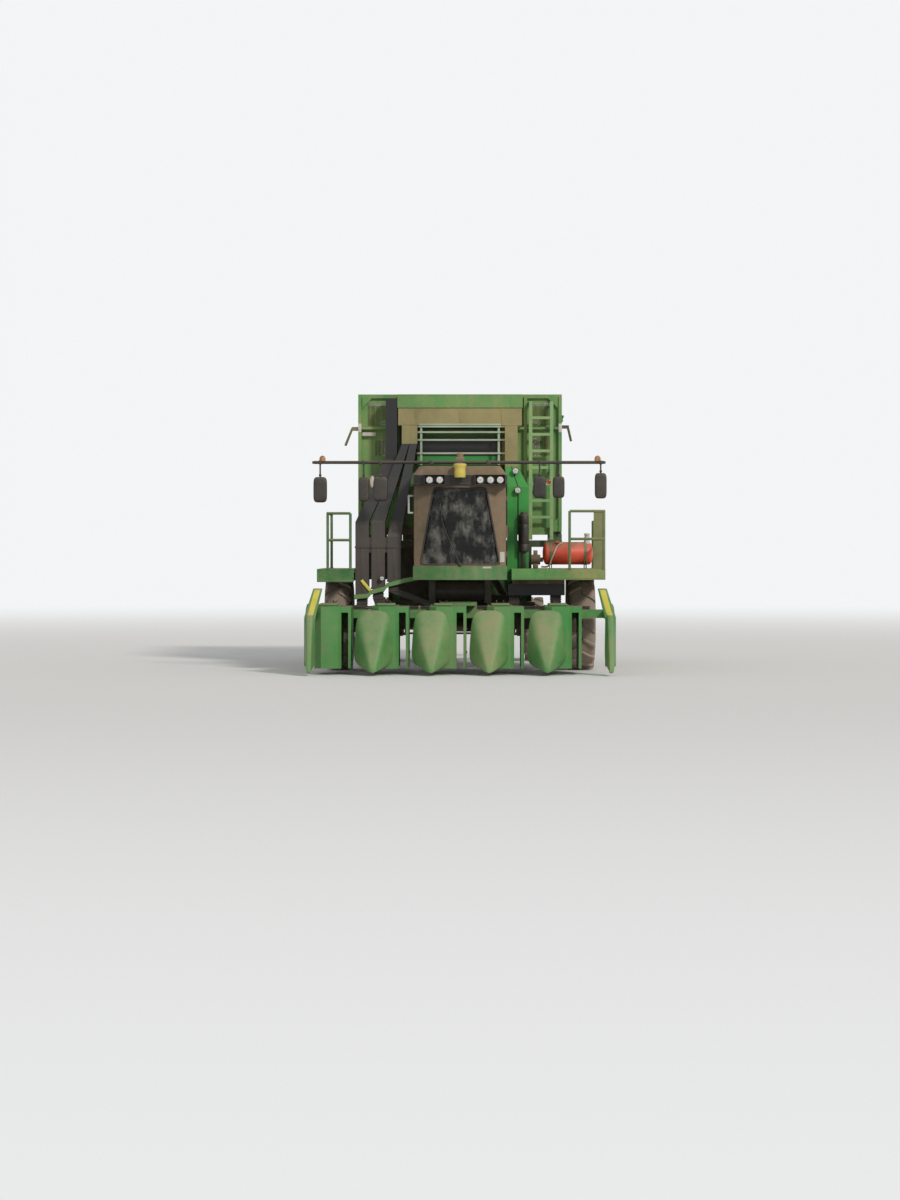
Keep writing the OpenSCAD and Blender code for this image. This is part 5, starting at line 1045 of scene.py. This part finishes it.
piece("hose_clips", clips, barrel_black, "header")
gear = bolts([(x, -2.66, 1.2403) for x in np.linspace(-0.32, 0.25, 7)], UP, 0.011, 0.008)
gear.append(slab((-0.345, 0.285), (-2.888, -2.7), (1.2395, 1.246), 0.003))
piece("gear_case_bolts", gear, header_green, "header")

# Row units: sheet-metal cabinets, each with two picking drums beside the slot that the plants pass through.
# A drive cover is bolted on top, a service door hangs on the outer wall, and dust has turned the tops grey-brown.

unit_green = dusty("unit_green", GREEN, 0.16, dust=(0.19, 0.15, 0.095, 1), up=0.7, low=0.1)
dress(unit_green, "unit_cabinets")
LID = 1.192
lid = [slab((-0.515, -0.075), (-3.64, -2.72), (1.1803, LID)),
       slab((-0.37, -0.22), (-3.36, -3.11), (1.19, 1.218), 0.012, 4)]
lid += [slab((-0.46, -0.13), y, (1.19, 1.232), 0.02, 4) for y in ((-3.58, -3.34), (-3.13, -2.89))]
fixings = bolts([(x, y, LID) for x in (-0.5, -0.09) for y in np.linspace(-3.6, -2.76, 6)], UP, 0.009, 0.007)
panels = slabs([((-0.5335, -0.529), (-3.62, -2.74), (0.24, 1.02)),
                ((0.1095, 0.1135), (-3.66, -2.78), (0.22, 0.98))], 0.002)
panels += slabs([((-0.54, -0.532), (-3.58, -2.78), (z, z + 0.02)) for z in (0.44, 0.63, 0.82)], 0.003)
for z in (0.36, 0.9):
    fixings.append(turned([[0.009, -0.05], [0.009, 0.05]], (-0.536, -2.735, z), UP, 10))
    fixings.append(slab((-0.546, -0.533), (-3.6, -3.585), around(z, 0.035)))
for z in (0.38, 0.78):
    fixings.append(tube([(0.118, -3.6, z), (0.118, -3.1, z)], 0.01, 8))
    fixings += bolts([(0.1135, y, z) for y in (-3.62, -3.06)], LEFT, 0.014, 0.012)
rows = [(x, 0, 0) for x in ROWS]
piece("unit_covers", moved(lid, *rows), unit_green, "header")
piece("unit_doors", moved(panels, *rows), unit_green, "header")
piece("unit_fixings", moved(fixings, *rows), barrel_black, "header")

# Picking drums: upright bars carried between two discs, each bar with a ladder of barbed spindles.
# Hard-chromed steel, worn bright where the spindles meet the plants, and dusty between them.

spindle_steel = dusty("spindle_steel", (0.42, 0.41, 0.39, 1), 0.22, rough=0.3, metal=1.0, edge=0.0, low=0.1)
BARS, TIERS = 12, 18
spindle = turned([[0.0085, 0.0], [0.0085, 0.01], [0.0065, 0.013], [0.003, 0.049], [0.0012, 0.05]],
                 (0, 0, 0), LEFT, 6)
one_bar = [turned([[0.014, 0.18], [0.014, 1.065]], (0.105, 0, 0), UP, 8)]
one_bar += moved([spindle], *[(0.105, 0, 0.225 + n * 0.79 / (TIERS - 1)) for n in range(TIERS)])
drum = [turned([[0.035, 0.18], [0.035, 1.0797]], (0, 0, 0), UP, 20)]
disc = [[0.035, 0], [0.12, 0], [0.127, 0.004], [0.127, 0.021], [0.12, 0.025], [0.035, 0.025]]
drum += [turned(disc, (0, 0, z), UP) for z in (0.18, 1.04)]
for c, s in zip(*circle(BARS)):
    drum += [(v @ np.array([[c, s, 0], [-s, c, 0], [0, 0, 1]]), f) for v, f in one_bar]
for r, x in enumerate(ROWS):
    made = piece(f"spindle_drums_{r + 1}", moved(drum, (x - 0.255, -3.47, 0), (x - 0.255, -3.02, 0)), spindle_steel,
                 "header")
    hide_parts("picker_drums")

# Snouts and end dividers: smooth sheet-metal points that part the rows and lift low branches.
# Each is pressed in two halves, bolted along its back edge, with a wear shoe under its tip.
# A yellow stripe is painted down each divider's shield.


def stripe(tree, where):
    """1 within 5 cm of the plane where |x| + 0.28 z is 2.88 m, at the shield's height."""
    height = inside(tree, where, z=(1.04, 1.475))
    across = calc(tree, "ABSOLUTE", axis_of(tree, where, 0))
    off = calc(tree, "ABSOLUTE", sums(tree, [(across, 1.0), (axis_of(tree, where, 2), 0.28)], -2.88))
    return calc(tree, "MULTIPLY", height, step(tree, off, 0.05, 0.045))


snout_green = dusty("snout_green", GREEN, 0.12, low=0.15, up=0.6, others=(((0.72, 0.62, 0.05, 1), stripe),))
TIP_Y = -4.298


def snout(middle, half, top):
    """A pointed shell: rounded sections from the tip to the unit. Half width and height rise along it, quickly at
    first, and each section is a rounded box, narrower at its top by a fifth. A small face closes the tip."""
    t = np.linspace(0, 1, 15)[:, None]
    wide = 0.04 + (half - 0.04) * t ** 0.8
    low = 0.062 + 0.07 * t
    high = 0.125 + (top - 0.125) * t ** 0.88
    c, s = circle(44, 0.5)
    ring = xyz(middle + c * wide * (1 - 0.1 * (1 + s)), TIP_Y + 0.4975 * t, (low + high) / 2 + s * (high - low) / 2)
    centre = ring[:1].mean(axis=1, keepdims=True)
    nose = centre + 0.4 * (ring[:1] - centre)
    nose[:, :, 1] = TIP_Y - 0.0018
    return skin(np.concatenate([nose, ring]))


def shield(side):
    """The sheet behind an end divider: rounded rectangles in plan, stacked from its foot and leaning in from the
    height of 1 m, where both sides slide inwards as they rise."""
    z = np.array([0.15, 0.156, 0.95, 1.0, 1.1, 1.3, 1.494, 1.5])[:, None]
    inner = np.interp(z, [0.15, 0.95, 1.5], [2.512, 2.512, 2.382])
    outer = np.interp(z, [0.15, 1.0, 1.5], [2.698, 2.698, 2.538])
    draw = np.array([0.006, 0, 0, 0, 0, 0, 0, 0.006])[:, None]
    right, back, c, s = rounded(4)
    r = 0.022
    x = (inner + outer) / 2 + right * ((outer - inner) / 2 - r - draw) + r * c
    return skin(xyz(side * x, -3.8353 + back * (0.0335 - r - draw) + r * s, z))


points = [snout(x, 0.36, 1.12) for x in (-1.5, -0.5, 0.5, 1.5)]
for s in (-1, 1):
    points += [snout(s * 2.6, 0.1, 1.24), shield(s)]
shoes = [slab(around(x, half), (-4.29, -4.02), (0.052, 0.07), 0.006)
         for x, half in ((-1.5, 0.035), (-0.5, 0.035), (0.5, 0.035), (1.5, 0.035), (-2.6, 0.03), (2.6, 0.03))]
rivets = bolts([(x + dx, -3.83, 1.124) for x in (-1.5, -0.5, 0.5, 1.5) for dx in (-0.18, 0, 0.18)], UP, 0.009, 0.006)
snout_piece = piece("snout_shells", points, snout_green, "header", crease=48)
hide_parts("row_snouts")
piece("snout_shoes", shoes, barrel_black, "header")
piece("snout_bolts", rivets, snout_green, "header")

# Basket: folded sheet walls in a frame of square tube, green under khaki dust.
# Expanded metal fills its windows, the dump door hangs on four pins, and a ladder is welded to its front.

# The paler green on the left part of the basket's front is painted light on the side facing the key. The black
# patches on the front and at its outer edges are painted shade, and clean keeps dust off the black behind the hood.
basket_green = dusty("basket_green", (0.045, 0.265, 0.055, 1), 0.3, dust=KHAKI, streaks=0.7,
                     others=(zone((0.175, 0.41, 0.165, 1), x=(1.2, 1.75), y=(-9, -1.39)),
                             zone(BLACK, x=(-0.76, 0.75), y=(-9, -1.27), z=(3.6, 4.4)),
                             zone(BLACK, x=(-1.4, -0.72), y=(-9, -1.27), z=(2.4, 3.6)),
                             zone(BLACK, x=(-3, -1.875), y=(-9, -1.0), z=(3.9, 4.5)),
                             zone(BLACK, x=(1.855, 3), y=(-9, -1.25), z=(3.9, 4.5))),
                     clean=lambda tree, where: inside(tree, where, x=(-0.76, 0.75), y=(-9, -1.27), z=(3.6, 4.4)))
mesh_green = dusty("mesh_green", (0.024, 0.11, 0.034, 1), 0.1, dust=KHAKI, edge=0.0, streaks=0.2)
dress(basket_green, "basket", "basket_door")
wires = []
for x0, x1, z0, z1 in ((-1.68, -1.26, 4.43, 4.83), (-1.54, -1.19, 3.88, 4.16), (1.27, 1.67, 4.43, 4.83),
                       (1.27, 1.67, 3.88, 4.26)):
    wires += mesh_wires((x0, x1), (z0, z1), lambda u, v: (u, -1.236, v), 0.014, 0.5, 0.0042)
for x0, x1 in ((-1.65, -0.85), (-0.85, 0.0), (0.0, 0.85), (0.85, 1.65)):
    wires += mesh_wires((x0 + 0.06, x1 - 0.06), (3.75, 4.75), lambda u, v: (u, 3.936, v), 0.026, 0.5, 0.0042)
for y in [-1.3 + 1.046 * k for k in range(5)]:
    wires += mesh_wires((y + 0.12, y + 0.996), (3.75, 4.75), lambda u, v: (-1.786, u, v), 0.03, 0.5, 0.0034)
piece("basket_mesh", wires, mesh_green, "basket")
wires = []
for y in [-1.172 + 0.8307 * k for k in range(6)]:
    wires += mesh_wires((y + 0.1, y + 0.7907), (3.755, 4.462), lambda u, v: (1.786, u, v), 0.03, 0.5, 0.0034)
piece("door_mesh", wires, mesh_green, "basket_door")
fit = [slab((-1.77, -1.53), (-1.326, -1.3235), (4.235, 4.3), 0.001)]
fit += [slab(around(x, 0.03), (-1.33, -1.322), (4.3, 4.46), 0.003) for x in (-1.82, 1.82)]
piece("label_plate", fit, plastic_white, "basket")


def gusset(side, z, tall):
    """A triangle of 8 mm plate in a corner of the front frame, 180 mm along each leg."""
    return skin(xyz(side * np.array([-1.78, -1.6, -1.78]), np.array([[-1.3], [-1.292]]), z + np.array([0, 0, tall])))


gussets = [gusset(side, z, tall) for side in (1, -1) for z, tall in ((2.57, 0.18), (4.92, -0.18))]
piece("basket_gussets", gussets, basket_green, "basket")
pins = [turned([[0.018, -0.005], [0.018, 0.006], [0.012, 0.009]], (1.882, y + s * 0.056, 4.61), (0, s, 0), 14)
        for y in (-0.8, 0.6333, 2.0667, 3.5) for s in (-1, 1)]
piece("door_pin_heads", pins, barrel_black, "basket")

# Studio: a pale floor that runs out into a pale background, and soft light from the front right.
# Both are only as bright as the background where a camera or a reflection sees them.

PALE = (0.9, 0.91, 0.92, 1)
RINGS, SPOKES = 40, 96
reach = 400 * (np.arange(RINGS) / (RINGS - 1))[:, None] ** 2.2
c, s = circle(SPOKES)
i, j = np.arange(RINGS - 1)[:, None], np.arange(SPOKES)[None, :]
k = (j + 1) % SPOKES
cells = np.stack([i * SPOKES + j, (i + 1) * SPOKES + j, (i + 1) * SPOKES + k, i * SPOKES + k], -1).reshape(-1, 4)
floor_mesh = bpy.data.meshes.new("floor")
floor_mesh.from_pydata(xyz(reach * c, reach * s, -0.002).reshape(-1, 3).tolist(), [], cells.tolist())
floor = bpy.data.objects.new("floor", floor_mesh)
bpy.context.scene.collection.objects.link(floor)


def seen_rays(tree):
    """1 for rays from the camera and for those that a mirror or a glass passes on, and 0 for light's own rays."""
    rays = tree.nodes.new("ShaderNodeLightPath").outputs
    looked = calc(tree, "MAXIMUM", rays["Is Camera Ray"], rays["Is Glossy Ray"])
    return calc(tree, "MAXIMUM", looked, rays["Is Transmission Ray"])


floor_mat, tree, shader = new_material("floor_pale")
feed(tree, shader, {"Base Color": (0.7, 0.69, 0.67, 1), "Roughness": 0.9})
away = get(tree, "VectorMath", {0: get(tree, "TexCoord", socket="Object")}, "Value", operation="LENGTH")
share = calc(tree, "MULTIPLY", seen_rays(tree), step(tree, away, 12.0, 60.0))
glow = get(tree, "Emission", {"Color": PALE, "Strength": 1.0})
both = get(tree, "MixShader", {0: share, 1: shader.outputs[0], 2: glow})
feed(tree, tree.nodes["Material Output"], {"Surface": both})
floor_mesh.materials.append(floor_mat)

world = bpy.data.worlds.new("studio")
bpy.context.scene.world = world
world.use_nodes = True
tree = world.node_tree
tree.nodes.clear()
looked = seen_rays(tree)
dim = get(tree, "Background", {"Color": (0.95, 0.97, 1.0, 1), "Strength": 0.5})
bright = get(tree, "Background", {"Color": PALE, "Strength": 1.0})
both = get(tree, "MixShader", {0: looked, 1: dim, 2: bright})
feed(tree, tree.nodes.new("ShaderNodeOutputWorld"), {"Surface": both})

key = bpy.data.objects.new("key", bpy.data.lights.new("key", "SUN"))
key.data.energy, key.data.angle = 2.1, 0.14
key.data.color = (1.0, 0.97, 0.92)
key.rotation_euler = (np.radians(58), 0, np.radians(34))
bpy.context.scene.collection.objects.link(key)

# Camera: eye level and 50 m ahead of the cab, aimed a little down and a little to the left.
# Its lens gives 57 pixels a metre at the cab's front in a picture 1200 pixels high.

SCALE, DISTANCE = 57.0, 50.0
camera = bpy.data.objects.new("camera", bpy.data.cameras.new("camera"))
bpy.context.scene.collection.objects.link(camera)
bpy.context.scene.camera = camera
camera.data.sensor_width = 36
camera.data.lens = 36 * SCALE * DISTANCE / 1200
camera.data.clip_end = 1000
camera.location = (0, -3.15 - DISTANCE, 2.2)
camera.rotation_euler = (np.pi / 2 - np.arctan(52 / (SCALE * DISTANCE)), 0, np.arctan(10 / (SCALE * DISTANCE)))

bpy.context.scene.view_settings.view_transform = "Standard"
